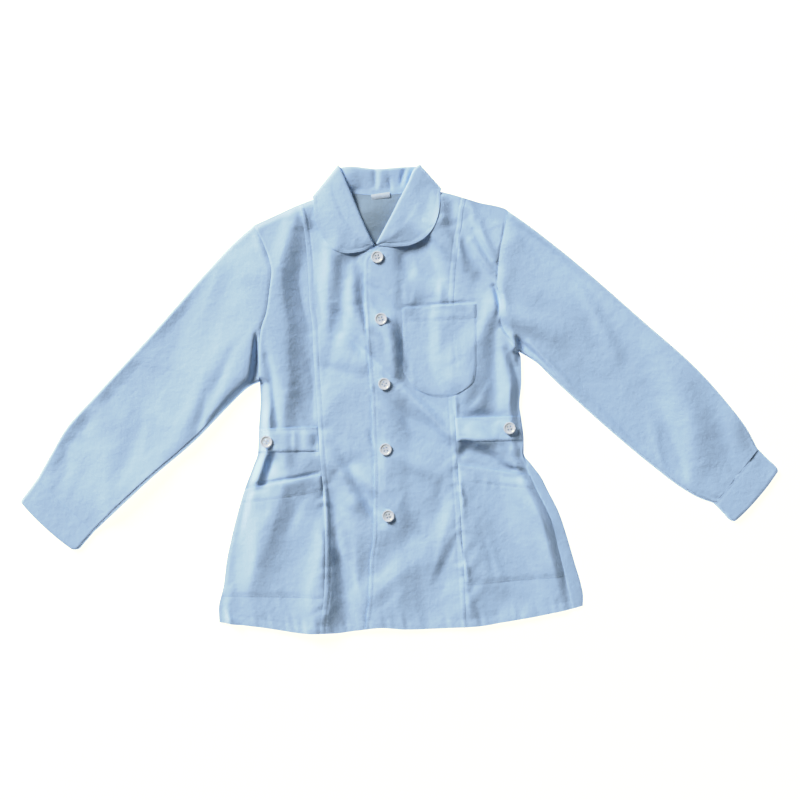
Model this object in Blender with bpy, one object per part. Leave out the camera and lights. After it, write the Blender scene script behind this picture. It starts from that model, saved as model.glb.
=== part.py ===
"""Nurse uniform jacket, laid flat on its back with its front up.

All tables are in millimetres: X to the right as seen from above, Y towards the collar,
Z up from the surface it lies on. "right" and "left" in names are the wearer's own.
"""
import math

import bpy
from mathutils import Vector

MM = 0.001
CLOTH = 1.2            # wall of every cloth piece
SEAM_GAP = 0.3         # between neighbouring pieces
LAYER = CLOTH + SEAM_GAP
PUFF = 1.5             # how far the front stands off the back between folds
HEM_SHARE = 0.55       # how much of the folds is left at the hem
EDGE_FADE = 36.0       # folds fade out this near the outline
HOLLOW = 3.7           # most the front may stand off the back
SLEEVE_HEIGHT = 4.9
CUFF_HEIGHT = 5.4
CUFF_CELLS = 12
ROLL_HEIGHT = 4.4      # how far the collar rolls up along the V
ROLL_INSET = 2.4
STAND_RISE = 1.9       # back stand, from the neck seam to the roll
LEAF_CLEAR = 1.6       # middle of the collar leaf over the front it lies on
LAP_CLEAR = 0.4        # extra air where the fronts lap
LAP_FOLDS = 0.5        # share of the folds left in the lapped band
POCKET_CLEAR = 0.5
POCKET_PUFF = 1.2
TAB_CLEAR = 0.4
BUTTON_RADIUS = 9.0
BUTTON_THICK = 2.6
BUTTON_DISH = 0.8
BUTTON_SIDES = 18

# Long edges, hem to shoulder: rows of (y, x).
SIDE_RIGHT = ((-349, -268), (-333, -270.5), (-313.5, -271.5), (-277.5, -264), (-241.5, -259.5),
              (-205.5, -252), (-169.5, -243), (-133.5, -232.5), (-97.5, -219), (-79.5, -213),
              (-43.5, -211.5), (0, -209), (27, -210), (54, -212.5), (104, -208), (132, -199.5),
              (165, -195), (191.5, -192), (207, -195), (234.5, -205), (261, -219.5))
SIDE_LEFT = ((-330, 272), (-311, 274), (-295.5, 274.5), (-277.5, 271.5), (-241.5, 261),
             (-205.5, 250.5), (-169.5, 238.5), (-133.5, 220.5), (-115.5, 211.5), (-97.5, 198),
             (-79.5, 185.5), (-61.5, 185.5), (-25.5, 181.5), (-7.5, 179), (28.5, 182),
             (64.5, 181), (72, 178), (84, 170), (120, 150), (150, 150.5), (171, 145),
             (214.5, 148), (247.5, 154.5), (283.5, 162))
# Side seam of the left front: it sits in from the outline below the waist.
SIDE_SEAM_LEFT = ((-330, 263), (-300, 257), (-231, 240.5), (-181.5, 228), (-134, 205.5),
                  (-112.5, 195.5), (-97.5, 190), (-79.5, 183.5), (-61.5, 184.5)) + SIDE_LEFT[12:]
PRINCESS_RIGHT = ((-350, -119), (-337.5, -118.5), (-285, -112.5), (-225, -111), (-165, -113),
                  (-112.5, -117), (-60, -121.5), (-7.5, -124.5), (30, -127.5), (73.5, -130),
                  (106.5, -131), (145.5, -136), (195, -138), (276, -147), (291.5, -152))
PRINCESS_LEFT = ((-341, 99.5), (-268.5, 96), (-193.5, 91.5), (-144, 88.5), (-94.5, 86),
                 (-28.5, 82), (10.5, 80.5), (142.5, 80), (171, 81.5), (205.5, 84), (240, 88),
                 (260.5, 92.5), (283.5, 95), (301.5, 99))
# Front edges run on up the neckline to the neck point at the shoulder.
LAP_UNDER = ((-345, -14), (-200, -8), (0, -10), (150, -14), (222, -16), (232.5, -43),
             (243, -57.5), (262, -66), (280, -73), (299, -81), (313, -88))
LAP_OVER = ((-345, -51), (-286.5, -44.5), (-240, -43), (-202.5, -38.5), (-120, -37.5),
            (-36, -40), (-1.5, -41), (51, -45), (102, -49), (154.5, -51.5), (204, -52.5),
            (226, -38), (240, -22), (262, -4), (285, 6), (303, 13), (315, 17))

# Rows the panels share: y on each long edge, and how many grid cells to the next row.
STATIONS = ("name", "cells", "side_right", "princess_right", "lap_under", "lap_over",
            "princess_left", "side_left")
STATION_ROWS = (
    ("hem", 2, -333, -348, -342, -343, -340.5, -311.5),
    ("pocket_bottom", 7, -294.5, -296, -290, -290, -278, -265),
    ("pocket_mouth", 2, -133, -112.5, -105, -105, -96.5, -112.5),
    ("tab_bottom", 2, -78.5, -76.5, -68, -68, -62, -61),
    ("tab_top", 4, -43.5, -40, -34, -34, -27.5, -24),
    ("underarm", 4, 27, 30, 38, 38, 40, 72),
    ("chest", 4, 120, 128, 140, 140, 135, 150),
    ("neck_base", 5, 195, 195, 226, 222, 205.5, 214),
    ("shoulder", 0, 261, 291.5, 313, 315, 301.5, 283.5),
)
HEM_LINE = ((-270, -333), (-207, -340.5), (-135, -349), (-99, -349), (-63, -345), (-27, -341),
            (9, -343.5), (81, -341), (117, -339), (153, -333), (189, -327), (225, -320),
            (261, -312), (275, -308))
SHOULDER_LINE = ((-219.5, 261), (-168, 284.5), (-152, 291.5), (-132, 299), (-110, 306),
                 (-88, 313), (17, 315), (45, 312.5), (61.5, 311), (99, 301.5), (115.5, 296.5),
                 (157.5, 286.5), (162, 283.5))
BACK_NECK = ((-88, 313), (-73.5, 309.5), (-33, 306.5), (4, 309.5), (17, 315))
BACK_COLUMNS = (-219.5, -170, -132, -108, -88, -80.5, -73.5, -33, 4, 11, 17, 39, 61.5, 99, 130,
                162)

# Folds: a soft ridge (height over 0) or trough (under 0) along a straight run.
FOLD = ("where", "x0", "y0", "x1", "y1", "half_width", "height")
FOLD_ROWS = (
    ("side right, broad trough, upper", -158, 262, -182, 170, 17, -1.7),
    ("side right, broad trough, lower", -182, 170, -140, 20, 17, -1.9),
    ("side right, trough at waist", -140, 30, -152, -36, 12, -1.4),
    ("side right, ridge", -183, 95, -173, -36, 9, 1.9),
    ("side right, side fold", -206, 78, -192, -38, 7, -1.6),
    ("side right, wedge under tab", -200, -84, -224, -128, 10, -1.5),
    ("centre right, ridge", -79, 215, -79, 70, 12, 2.1),
    ("centre right, trough at left", -98, 218, -97, 125, 8, -1.3),
    ("centre right, trough at right", -61, 200, -60, 100, 8, -1.3),
    ("centre right, ridge by seam", -118, 240, -117, 100, 8, 1.4),
    ("centre right, pull line", -118, -106, -48, -80, 10, 1.2),
    ("centre right, diagonal", -82, -108, -53, -168, 8, -1.4),
    ("centre right, hem trough", -105, -140, -86, -345, 10, -1.9),
    ("centre right, hem ridge", -76, -158, -66, -330, 9, 1.7),
    ("centre left, ridge from button 3", -10, 20, 42, -32, 11, 1.8),
    ("centre left, trough from button 3", -28, 8, 30, -46, 10, -1.3),
    ("centre left, ridge from button 4", -12, -76, 48, -118, 9, 1.4),
    ("centre left, trough by buttons", -12, 118, 3, 40, 8, -1.7),
    ("centre left, trough under collar", 70, 288, 88, 240, 9, -1.4),
    ("centre left, small trough", 20, 232, 36, 196, 7, -1.1),
    ("centre left, ridge between", 55, 235, 62, 165, 10, 1.6),
    ("centre left, lower diagonal", 84, -200, 48, -278, 8, -1.8),
    ("centre left, lower ridge", 66, -150, 20, -250, 13, 1.8),
    ("centre left, hem trough", 10, -268, -32, -310, 9, -1.2),
    ("side left, trough to armhole", 98, 238, 146, 158, 9, -1.7),
    ("side left, ridge to armhole", 108, 288, 140, 205, 8, 1.6),
    ("side left, trough by pocket", 148, 150, 112, 20, 9, -1.9),
    ("side left, ridge to waist", 150, 100, 118, -22, 9, 1.8),
    ("side left, side fold", 164, 80, 171, 0, 6, -1.4),
    ("side left, wedge under tab", 100, -68, 180, -104, 11, -1.6),
    ("pocket right, trough", -180, -160, -213, -275, 11, -1.5),
    ("pocket right, second trough", -142, -175, -156, -235, 9, -1.1),
    ("pocket left, side trough", 216, -125, 243, -262, 8, -1.5),
    ("pocket left, wrinkle", 128, -172, 158, -236, 8, -1.1),
    ("pocket left, ridge", 170, -140, 200, -240, 14, 1.2),
    ("sleeve right, long fold", -253, 84, -314, -54, 9, -1.5),
    ("sleeve right, ridge by fold", -238, 72, -292, -44, 9, 1.1),
    ("sleeve right, soft upper", -259, 204, -290, 124, 10, -0.9),
    ("sleeve right, soft middle", -322, 138, -360, 82, 10, -0.9),
    ("sleeve right, soft lower", -394, 4, -420, -106, 11, -1.0),
    ("sleeve right, at cuff", -496, -52, -523, -140, 8, -1.3),
    ("sleeve left, long trough", 176, 122, 350, -62, 17, -1.7),
    ("sleeve left, bend trough", 296, 138, 333, 54, 9, -1.2),
    ("sleeve left, bend ridge", 282, 120, 316, 50, 9, 1.0),
    ("sleeve left, lower trough", 390, -34, 402, -98, 8, -1.3),
    ("sleeve left, soft trough", 432, 30, 458, -72, 11, -1.2),
    ("sleeve left, at cuff", 484, -78, 503, -112, 7, -1.0),
    ("sleeve left, cap crease", 176, 268, 187, 230, 6, -0.9),
)

# Sleeve sections down the arm: top edge and under edge, seen from above.
SECTION = ("top_x", "top_y", "under_x", "under_y", "cells")
SLEEVE_RIGHT_SECTIONS = (
    (-220, 260.5, -216, 29, 1),
    (-246, 238, -230, 17, 2),
    (-291, 190.5, -255, -7.5, 3),
    (-370.5, 100.5, -307.5, -61.5, 3),
    (-453, 10.5, -370.5, -115.5, 2),
    (-501, -43.5, -409.5, -151.5, 1),
    (-522, -79.5, -435, -175.5, 2),
    (-543, -117, -457.5, -196.5, 0),
)
SLEEVE_LEFT_SECTIONS = (
    (171, 279.5, 193.5, 67.5, 3),
    (261, 208.5, 232.5, 28.5, 3),
    (364.5, 118.5, 312, -43.5, 3),
    (445.5, 46.5, 376.5, -97.5, 2),
    (493.5, -7.5, 424.5, -133.5, 1),
    (520.5, -43.5, 450, -147.5, 2),
    (535.5, -72, 469.5, -154.5, 0),
)
CUFF_RIGHT_SECTIONS = (
    (-543.5, -117.5, -458, -197, 1),
    (-556.5, -135.5, -471.5, -212.5, 1),
    (-566.5, -148.5, -483.5, -224, 1),
    (-568.5, -152, -489.5, -224.5, 0),
)
CUFF_LEFT_SECTIONS = (
    (536, -72.5, 470, -155, 1),
    (552, -88.5, 484, -169.5, 1),
    (564.5, -100.5, 496.5, -181, 1),
    (567, -105, 501, -182, 0),
)
CUFF_BOW = 3.6         # how far the cuff's open end bows out in the middle

# Collar, seen from above: the roll that makes the V and the outer edge of the leaf.
ROLL_RIGHT = ((-39.5, 233.5), (-46.5, 247.5), (-60.5, 279), (-74, 311), (-88, 343))
LEAF_RIGHT = ((-42, 229), (-57, 222), (-78, 219), (-96.5, 223.5), (-115.5, 244.5),
              (-128.5, 279), (-129, 297))
ROLL_LEFT = ((-35, 234), (-29.5, 244.5), (-10, 281), (-0.7, 300), (9, 318), (21, 344))
LEAF_LEFT = ((-33, 230.5), (-3.5, 228.5), (22, 234), (39.5, 244.5), (51.5, 259.5), (59, 289),
             (60, 309))
ROLL_BACK = ((-89, 348.5), (-75, 349.5), (-33, 346), (0, 348.5), (26, 350))
LEAF_BACK = ((-125, 297), (-110, 288), (-75, 280), (-33, 277), (10, 280), (42, 290), (56, 308))
WRAP_RIGHT = ((-91, 315), (-92.5, 351), (-131, 304))     # neck, roll, leaf at the side fold
WRAP_LEFT = ((20, 317), (29.5, 352), (62, 316))
WRAP_ANGLES = (28, 62, 90, 118, 152)
LEAF_STEPS = (0.16, 0.38, 0.62, 0.84, 1.0)
LEAF_CROWN = 0.9

CHEST_POCKET_ROWS = (
    ("y_left", "x_left", "y_right", "x_right"),
    (136.5, 3.0, 143.5, 113.5),
    (117.5, 3.6, 122.5, 113.8),
    (95.0, 4.0, 98.0, 114.2),
    (72.0, 4.4, 73.0, 114.4),
    (47.0, 4.5, 48.0, 114.5),
    (31.0, 12.0, 28.0, 110.5),
    (16.0, 24.5, 15.0, 97.0),
    (8.0, 42.0, 7.5, 82.0),
)
BUTTONS = (
    ("front_button_1", -34.0, 213.5),
    ("front_button_2", -28.5, 121.0),
    ("front_button_3", -23.5, 24.0),
    ("front_button_4", -21.5, -73.5),
    ("front_button_5", -17.5, -173.0),
    ("tab_button_right", -199.0, -62.0),
    ("tab_button_left", 163.5, -42.0),
)
LABEL = {"x": -29.0, "y": 305.5, "length": 28.0, "width": 8.0, "thick": 1.0, "turn": 8.0}
LABEL_CLEAR = 0.4

FRONT_COLUMNS = {"side_right": 12, "centre_right": 13, "centre_left": 14, "side_left": 12}
LOOK = {
    "cloth": ((0.480, 0.640, 0.830, 1.0), 0.86),
    "trim": ((0.500, 0.655, 0.840, 1.0), 0.86),
    "button": ((0.740, 0.770, 0.800, 1.0), 0.28),
    "label": ((0.560, 0.680, 0.820, 1.0), 0.80),
}


def smooth(value):
    """Soft step from 0 to 1."""
    held = min(max(value, 0.0), 1.0)
    return held * held * (3.0 - 2.0 * held)


def lerp(start, end, share):
    return start + (end - start) * share


def look_up(table, key):
    """Second column of a table at a key in its first column, between rows in a straight line."""
    if key <= table[0][0]:
        return table[0][1]
    for (key0, value0), (key1, value1) in zip(table, table[1:]):
        if key <= key1:
            return lerp(value0, value1, (key - key0) / (key1 - key0))
    return table[-1][1]


def along(path, share):
    """Point at a share of a path's length."""
    lengths = [math.dist(start, end) for start, end in zip(path, path[1:])]
    left = share * sum(lengths)
    for (start, end), length in zip(zip(path, path[1:]), lengths):
        if left <= length:
            return tuple(lerp(a, b, left / length) for a, b in zip(start, end))
        left -= length
    return path[-1]


def named(columns, row):
    return dict(zip(columns, row))


def edge_rows(edge, column):
    """Points of a long edge at the shared rows, hem to shoulder."""
    stations = [named(STATIONS, row) for row in STATION_ROWS]
    heights = []
    for here, there in zip(stations, stations[1:]):
        steps = here["cells"]
        heights += [lerp(here[column], there[column], step / steps) for step in range(steps)]
    heights.append(stations[-1][column])
    return [(look_up(edge, height), height) for height in heights]


def station_index(name):
    """Number of the grid row where a station starts."""
    count = 0
    for row in STATION_ROWS:
        if row[0] == name:
            return count
        count += row[1]
    raise KeyError(name)


def fold_height(x, y):
    """Sum of the ridges and troughs at a point."""
    total = 0.0
    for row in FOLD_ROWS:
        fold = named(FOLD, row)
        run_x, run_y = fold["x1"] - fold["x0"], fold["y1"] - fold["y0"]
        length = math.hypot(run_x, run_y)
        share = ((x - fold["x0"]) * run_x + (y - fold["y0"]) * run_y) / length ** 2
        aside = abs((x - fold["x0"]) * run_y - (y - fold["y0"]) * run_x) / length
        over = max(-share, share - 1.0, 0.0) * length
        reach = math.hypot(aside, over * 0.7) / fold["half_width"]
        if reach < 3.0:
            swell = 0.55 + 0.45 * math.sin(math.pi * min(max(share, 0.0), 1.0))
            total += fold["height"] * swell * math.exp(-reach * reach)
    return total


def neck_lift(x, y, spread_out=0.0):
    """The back rides over the part of the collar that is under it."""
    reach = math.hypot((x + 33.0) / 110.0, (y - 330.0) / 58.0)
    return (LAYER + 0.15) * smooth((1.42 + spread_out - reach) / 0.26)


def lap_lift(x, y):
    """The left front rides over the edge of the right front."""
    past = x - look_up(LAP_UNDER, min(y, 222.0)) - 4.0
    return (LAYER + LAP_CLEAR) * (1.0 - smooth(past / 24.0))


def lap_share(x, y):
    """Doubled cloth folds less than single cloth."""
    into = min(x - look_up(LAP_OVER, y) + 16.0, look_up(LAP_UNDER, min(y, 222.0)) + 22.0 - x)
    return 1.0 - (1.0 - LAP_FOLDS) * smooth(into / 16.0)


def shoulder_y(x):
    if -88.0 < x < 17.0:
        return 340.0
    return look_up(SHOULDER_LINE, x)


def edge_share(x, y):
    """0 at the outline of the body, 1 away from it."""
    inside = min(x - look_up(SIDE_RIGHT, y), look_up(SIDE_LEFT, y) - x, shoulder_y(x) - y)
    hem = HEM_SHARE + (1.0 - HEM_SHARE) * smooth((y - look_up(HEM_LINE, x)) / 70.0)
    return smooth(inside / EDGE_FADE) * hem


def front_under(x, y):
    """Underside of the front panels."""
    rise = (PUFF + fold_height(x, y) * lap_share(x, y)) * edge_share(x, y)
    return 1.1 * neck_lift(x, y, 0.18) + LAYER + min(max(rise, 0.0), HOLLOW)


def front_top(x, y):
    return front_under(x, y) + CLOTH


def lapped_top(x, y):
    """Top of the cloth where the left front laps over the right one."""
    over = x > look_up(LAP_OVER, y) - 1.0
    return front_top(x, y) + (lap_lift(x, y) if over else 0.0)


def shift_rows(grid, line, first, last, power=2.0):
    """Bend the rows between two row numbers so that the last one lies on a line."""
    count = last - first
    rows = [list(row) for row in grid]
    for column in range(len(grid[0])):
        x, y = grid[last][column]
        change = look_up(line, x) - y
        for index in range(min(first, last), max(first, last) + 1):
            share = abs((index - first) / count) ** power
            px, py = rows[index][column]
            rows[index][column] = (px, py + change * share)
    return rows


def panel_grid(left, right, columns, inset=SEAM_GAP / 2):
    """Rows of plan points from one long edge to the other, held back from both seams."""
    grid = []
    for (x0, y0), (x1, y1) in zip(left, right):
        start = inset / max(math.hypot(x1 - x0, y1 - y0), 1.0)
        shares = [lerp(start, 1.0 - start, step / columns) for step in range(columns + 1)]
        grid.append([(lerp(x0, x1, share), lerp(y0, y1, share)) for share in shares])
    return grid


def make_material(name):
    colour, roughness = LOOK[name]
    material = bpy.data.materials.new(name)
    material.use_nodes = True
    shader = material.node_tree.nodes["Principled BSDF"]
    shader.inputs["Base Color"].default_value = colour
    shader.inputs["Roughness"].default_value = roughness
    shader.inputs["Metallic"].default_value = 0.0
    material.diffuse_color = colour
    return material


def add_object(name, points, faces, look):
    mesh = bpy.data.meshes.new(name)
    mesh.from_pydata([Vector(point) * MM for point in points], [], faces)
    mesh.update()
    body = bpy.data.objects.new(name, mesh)
    bpy.context.scene.collection.objects.link(body)
    mesh.materials.append(make_material(look))
    body.active_material.name = name + "_" + look
    return body


def add_wall(name, top, bottom, look):
    """Close two matching grids of points into one wall; the top one faces up."""
    rows, columns = len(top), len(top[0])
    points = [point for row in top for point in row] + [point for row in bottom for point in row]
    size = rows * columns
    faces = []
    for row in range(rows - 1):
        for column in range(columns - 1):
            a = row * columns + column
            quad = (a, a + 1, a + columns + 1, a + columns)
            faces.append(quad)
            faces.append(tuple(size + index for index in reversed(quad)))
    rim = [column for column in range(columns)]
    rim += [row * columns + columns - 1 for row in range(1, rows)]
    rim += [(rows - 1) * columns + column for column in range(columns - 2, -1, -1)]
    rim += [row * columns for row in range(rows - 2, 0, -1)]
    for here, there in zip(rim, rim[1:] + rim[:1]):
        faces.append((there, here, size + here, size + there))
    return add_object(name, points, faces, look)


def lay_wall(name, grid, under, look, thick=CLOTH):
    """Wall over a plan grid, with its underside at a height worked out at each point."""
    bottom = [[(x, y, under(x, y)) for x, y in row] for row in grid]
    top = [[(x, y, z + thick) for x, y, z in row] for row in bottom]
    return add_wall(name, top, bottom, look)


def body_edges():
    return {
        "side_right": edge_rows(SIDE_RIGHT, "side_right"),
        "princess_right": edge_rows(PRINCESS_RIGHT, "princess_right"),
        "lap_under": edge_rows(LAP_UNDER, "lap_under"),
        "lap_over": edge_rows(LAP_OVER, "lap_over"),
        "princess_left": edge_rows(PRINCESS_LEFT, "princess_left"),
        "side_left": edge_rows(SIDE_SEAM_LEFT, "side_left"),
        "back_left": edge_rows(SIDE_LEFT, "side_left"),
    }


def fit_hem_and_shoulder(grid):
    grid = shift_rows(grid, HEM_LINE, station_index("pocket_bottom"), 0)
    return shift_rows(grid, SHOULDER_LINE, station_index("neck_base"), len(grid) - 1)


def build_back(edges):
    left, right = edges["side_right"], edges["back_left"]
    span = BACK_COLUMNS[-1] - BACK_COLUMNS[0]
    shares = [(x - BACK_COLUMNS[0]) / span for x in BACK_COLUMNS]
    grid = [[(lerp(x0, x1, share), lerp(y0, y1, share)) for share in shares]
            for (x0, y0), (x1, y1) in zip(left, right)]
    top_line = [row for row in SHOULDER_LINE if row[0] < -88] + list(BACK_NECK)
    top_line += [row for row in SHOULDER_LINE if row[0] > 17]
    grid = shift_rows(grid, HEM_LINE, station_index("pocket_bottom"), 0)
    grid = shift_rows(grid, top_line, station_index("underarm"), len(grid) - 1)
    lay_wall("back_panel", grid, neck_lift, "cloth")


def build_fronts(edges):
    """Four front panels; returns their plan grids by name."""
    sides = (
        ("front_side_right", "side_right", "princess_right", "side_right", front_under),
        ("front_centre_right", "princess_right", "lap_under", "centre_right", front_under),
        ("front_centre_left", "lap_over", "princess_left", "centre_left",
         lambda x, y: front_under(x, y) + lap_lift(x, y)),
        ("front_side_left", "princess_left", "side_left", "side_left", front_under),
    )
    grids = {}
    for name, left, right, columns, under in sides:
        grid = fit_hem_and_shoulder(panel_grid(edges[left], edges[right], FRONT_COLUMNS[columns]))
        lay_wall(name, grid, under, "cloth")
        grids[name] = grid
    return grids


def rows_between(grid, first, last):
    return grid[station_index(first):station_index(last) + 1]


def inset_grid(grid, side, end):
    """Pull a grid's outer rows and columns in by the same distance."""
    rows = [list(row) for row in grid]
    for row in rows:
        for outer, inner in ((0, 1), (-1, -2)):
            (x0, y0), (x1, y1) = row[outer], row[inner]
            share = side / math.dist(row[outer], row[inner])
            row[outer] = (lerp(x0, x1, share), lerp(y0, y1, share))
    for outer, inner in ((0, 1), (-1, -2)):
        pairs = list(zip(rows[outer], rows[inner]))
        rows[outer] = [(lerp(x0, x1, end / math.dist((x0, y0), (x1, y1))),
                        lerp(y0, y1, end / math.dist((x0, y0), (x1, y1))))
                       for (x0, y0), (x1, y1) in pairs]
    return rows


def puffed(grid, clear, puff, name, look):
    """A patch made from a panel's own points, moved up, with its middle standing off."""
    rows, columns = len(grid) - 1, len(grid[0]) - 1
    bottom = []
    for i, row in enumerate(grid):
        middle = 1.0 - (2.0 * i / rows - 1.0) ** 4
        bottom.append([(x, y, lapped_top(x, y) + clear
                        + puff * middle * (1.0 - (2.0 * j / columns - 1.0) ** 4))
                       for j, (x, y) in enumerate(row)])
    top = [[(x, y, z + CLOTH) for x, y, z in row] for row in bottom]
    add_wall(name, top, bottom, look)


def build_pockets_and_tabs(grids):
    for side in ("right", "left"):
        panel = grids["front_side_" + side]
        pocket = inset_grid(rows_between(panel, "pocket_bottom", "pocket_mouth"), 1.0, 0.5)
        puffed(pocket, SEAM_GAP, POCKET_PUFF, "hip_pocket_" + side, "cloth")
        tab = inset_grid(rows_between(panel, "tab_bottom", "tab_top"), 0.6, 0.2)
        puffed(tab, TAB_CLEAR, 0.2, "waist_tab_" + side, "trim")


def build_chest_pocket():
    rows = [named(CHEST_POCKET_ROWS[0], row) for row in CHEST_POCKET_ROWS[1:]]
    left = [(row["x_left"], row["y_left"]) for row in rows][::-1]
    right = [(row["x_right"], row["y_right"]) for row in rows][::-1]
    grid = panel_grid(left, right, 12)
    for column, (x, y) in enumerate(grid[0]):
        share = 2.0 * column / 12 - 1.0
        grid[0][column] = (x, y - 4.0 * (1.0 - share * share))
    puffed(grid, POCKET_CLEAR, POCKET_PUFF, "chest_pocket", "cloth")


def section_rows(sections):
    """Top-edge and under-edge points of every ring of a tube."""
    rows = [named(SECTION, row) for row in sections]
    pairs = []
    for here, there in zip(rows, rows[1:]):
        for step in range(here["cells"]):
            share = step / here["cells"]
            pairs.append([(lerp(here[edge + "_x"], there[edge + "_x"], share),
                           lerp(here[edge + "_y"], there[edge + "_y"], share))
                          for edge in ("top", "under")])
    last = rows[-1]
    pairs.append([(last["top_x"], last["top_y"]), (last["under_x"], last["under_y"])])
    return pairs


def build_tube(name, pairs, bends, height, look, folds=1.0, start_low=False):
    """Flattened tube of cloth. Each bend moves a ring's points along the arm, in plan."""
    shares = [step / (len(bends[0]) - 1) for step in range(len(bends[0]))]
    outer, inner = [], []
    for number, ((top, under), bend) in enumerate(zip(pairs, bends)):
        width = math.dist(top, under)
        rise = height
        if start_low:
            rise = lerp(2 * LAYER - SEAM_GAP, height, smooth(number / 4.0))
        plan, tops = [], []
        for share, (move_x, move_y) in zip(shares, bend):
            x, y = lerp(top[0], under[0], share) + move_x, lerp(top[1], under[1], share) + move_y
            near = smooth(min(share, 1.0 - share) * width / 26.0)
            lift = (rise - 2 * CLOTH - SEAM_GAP + folds * fold_height(x, y)) * near
            plan.append((x, y))
            tops.append(2 * CLOTH + SEAM_GAP + min(max(lift, 0.0), HOLLOW))
        outer.append(flat_ring(plan, tops, 0.0, width))
        inner.append(flat_ring(plan, [top_z - CLOTH for top_z in tops], CLOTH, width))
    close_tube(name, outer, inner, look)


def flat_ring(plan, tops, inset, width):
    """Points round one ring: over the top from edge to edge, then back underneath."""
    middle = (2 * CLOTH + SEAM_GAP) / 2
    slip = (0.2 + 1.6 * inset) / width
    first = [lerp(a, b, slip) for a, b in zip(plan[0], plan[-1])]
    last = [lerp(b, a, slip) for a, b in zip(plan[0], plan[-1])]
    turn = 0.16 + 0.1 * inset
    tuck = [tuple(lerp(a, b, turn) for a, b in zip(plan[outer], plan[inner]))
            for outer, inner in ((0, 1), (-1, -2))]
    over = [(tuck[0][0], tuck[0][1], tops[0])]
    over += [(x, y, z) for (x, y), z in zip(plan[1:-1], tops[1:-1])]
    over += [(tuck[1][0], tuck[1][1], tops[-1])]
    below = [(x, y, inset) for x, y, z in reversed(over)]
    return [(first[0], first[1], middle)] + over + [(last[0], last[1], middle)] + below


def close_tube(name, outer, inner, look):
    rings, count = len(outer), len(outer[0])
    points = [p for ring in outer for p in ring] + [p for ring in inner for p in ring]
    size = rings * count
    faces = []
    for ring in range(rings - 1):
        for spot in range(count):
            a, b = ring * count + spot, ring * count + (spot + 1) % count
            quad = (a, b, b + count, a + count)
            faces.append(quad)
            faces.append(tuple(size + index for index in reversed(quad)))
    for start, flip in ((0, True), ((rings - 1) * count, False)):
        for spot in range(count):
            a, b = start + spot, start + (spot + 1) % count
            quad = (a, b, size + b, size + a)
            faces.append(tuple(reversed(quad)) if flip else quad)
    body = add_object(name, points, faces, look)
    face_outward(body)


def face_outward(body):
    """Turn every face round if the shell came out inside-out."""
    mesh = body.data
    volume = 0.0
    for polygon in mesh.polygons:
        corners = [mesh.vertices[index].co for index in polygon.vertices]
        for a, b in zip(corners[1:], corners[2:]):
            volume += corners[0].dot(a.cross(b))
    if volume < 0.0:
        mesh.flip_normals()


def build_sleeve(name, sections, armhole, away):
    """Long sleeve: its first ring follows the armhole, the next ones straighten out."""
    pairs = section_rows(sections)
    pairs[0] = [armhole[0], armhole[-1]]
    count = len(armhole)
    bends = []
    for number in range(len(pairs)):
        keep = max(1.0 - number / 4.0, 0.0) ** 1.5
        bend = []
        for step, (x, y) in enumerate(armhole):
            share = step / (count - 1)
            chord = (lerp(armhole[0][0], armhole[-1][0], share),
                     lerp(armhole[0][1], armhole[-1][1], share))
            gap = away * (SEAM_GAP + 0.15) if number == 0 else 0.0
            bend.append(((x - chord[0]) * keep + gap, (y - chord[1]) * keep))
        bends.append(bend)
    build_tube(name, pairs, bends, SLEEVE_HEIGHT, "cloth", start_low=True)


def build_cuff(name, sections):
    """Band cuff; its open end bows out a little."""
    pairs = section_rows(sections)
    first, last = pairs[0][0], pairs[-1][0]
    length = math.dist(first, last)
    out = [(b - a) / length for a, b in zip(first, last)]
    bends = []
    for number in range(len(pairs)):
        reach = CUFF_BOW * (number / (len(pairs) - 1)) ** 2
        bows = [reach * math.sin(math.pi * step / CUFF_CELLS) for step in range(CUFF_CELLS + 1)]
        bends.append([(out[0] * bow, out[1] * bow) for bow in bows])
    build_tube(name, pairs, bends, CUFF_HEIGHT, "trim", folds=0.0)


def spread(path, count):
    return [along(path, step / (count - 1)) for step in range(count)]


def collar_station(neck, roll, leaf, neck_z, low_z, high_z, edge_z, crown):
    """Middle of the cloth across the collar: neck seam, stand, roll, leaf."""
    def between(start, end, share, z):
        return (lerp(start[0], end[0], share), lerp(start[1], end[1], share), z)

    stand = math.dist(neck, roll)
    fall = math.dist(roll, leaf)
    near_stand = 1.0 - min(ROLL_INSET / stand, 0.45)
    near_fall = min(ROLL_INSET / fall, 0.3)
    points = [(neck[0], neck[1], neck_z)]
    points.append(between(neck, roll, near_stand * 0.5, lerp(neck_z, low_z, 0.4)))
    points.append(between(neck, roll, near_stand, low_z))
    points.append((roll[0], roll[1], (low_z + high_z) / 2))
    points.append(between(roll, leaf, near_fall, high_z))
    for step in LEAF_STEPS:
        share = lerp(near_fall, 1.0, step)
        z = lerp(high_z, edge_z(*between(roll, leaf, share, 0)[:2]), smooth(step))
        points.append(between(roll, leaf, share, z + crown * math.sin(math.pi * step)))
    return points


def front_collar(neck_path, roll_path, leaf_path):
    """Stations from the front edge up to the side fold."""
    count = len(neck_path)
    rolls, leaves = spread(roll_path, count), spread(leaf_path, count)
    stations = []
    for neck, roll, leaf in zip(neck_path, rolls, leaves):
        neck_z = front_under(*neck) + CLOTH / 2
        stations.append(collar_station(
            neck, roll, leaf, neck_z, neck_z, neck_z + ROLL_HEIGHT,
            lambda x, y: lapped_top(x, y) + LEAF_CLEAR, LEAF_CROWN))
    return stations


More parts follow.
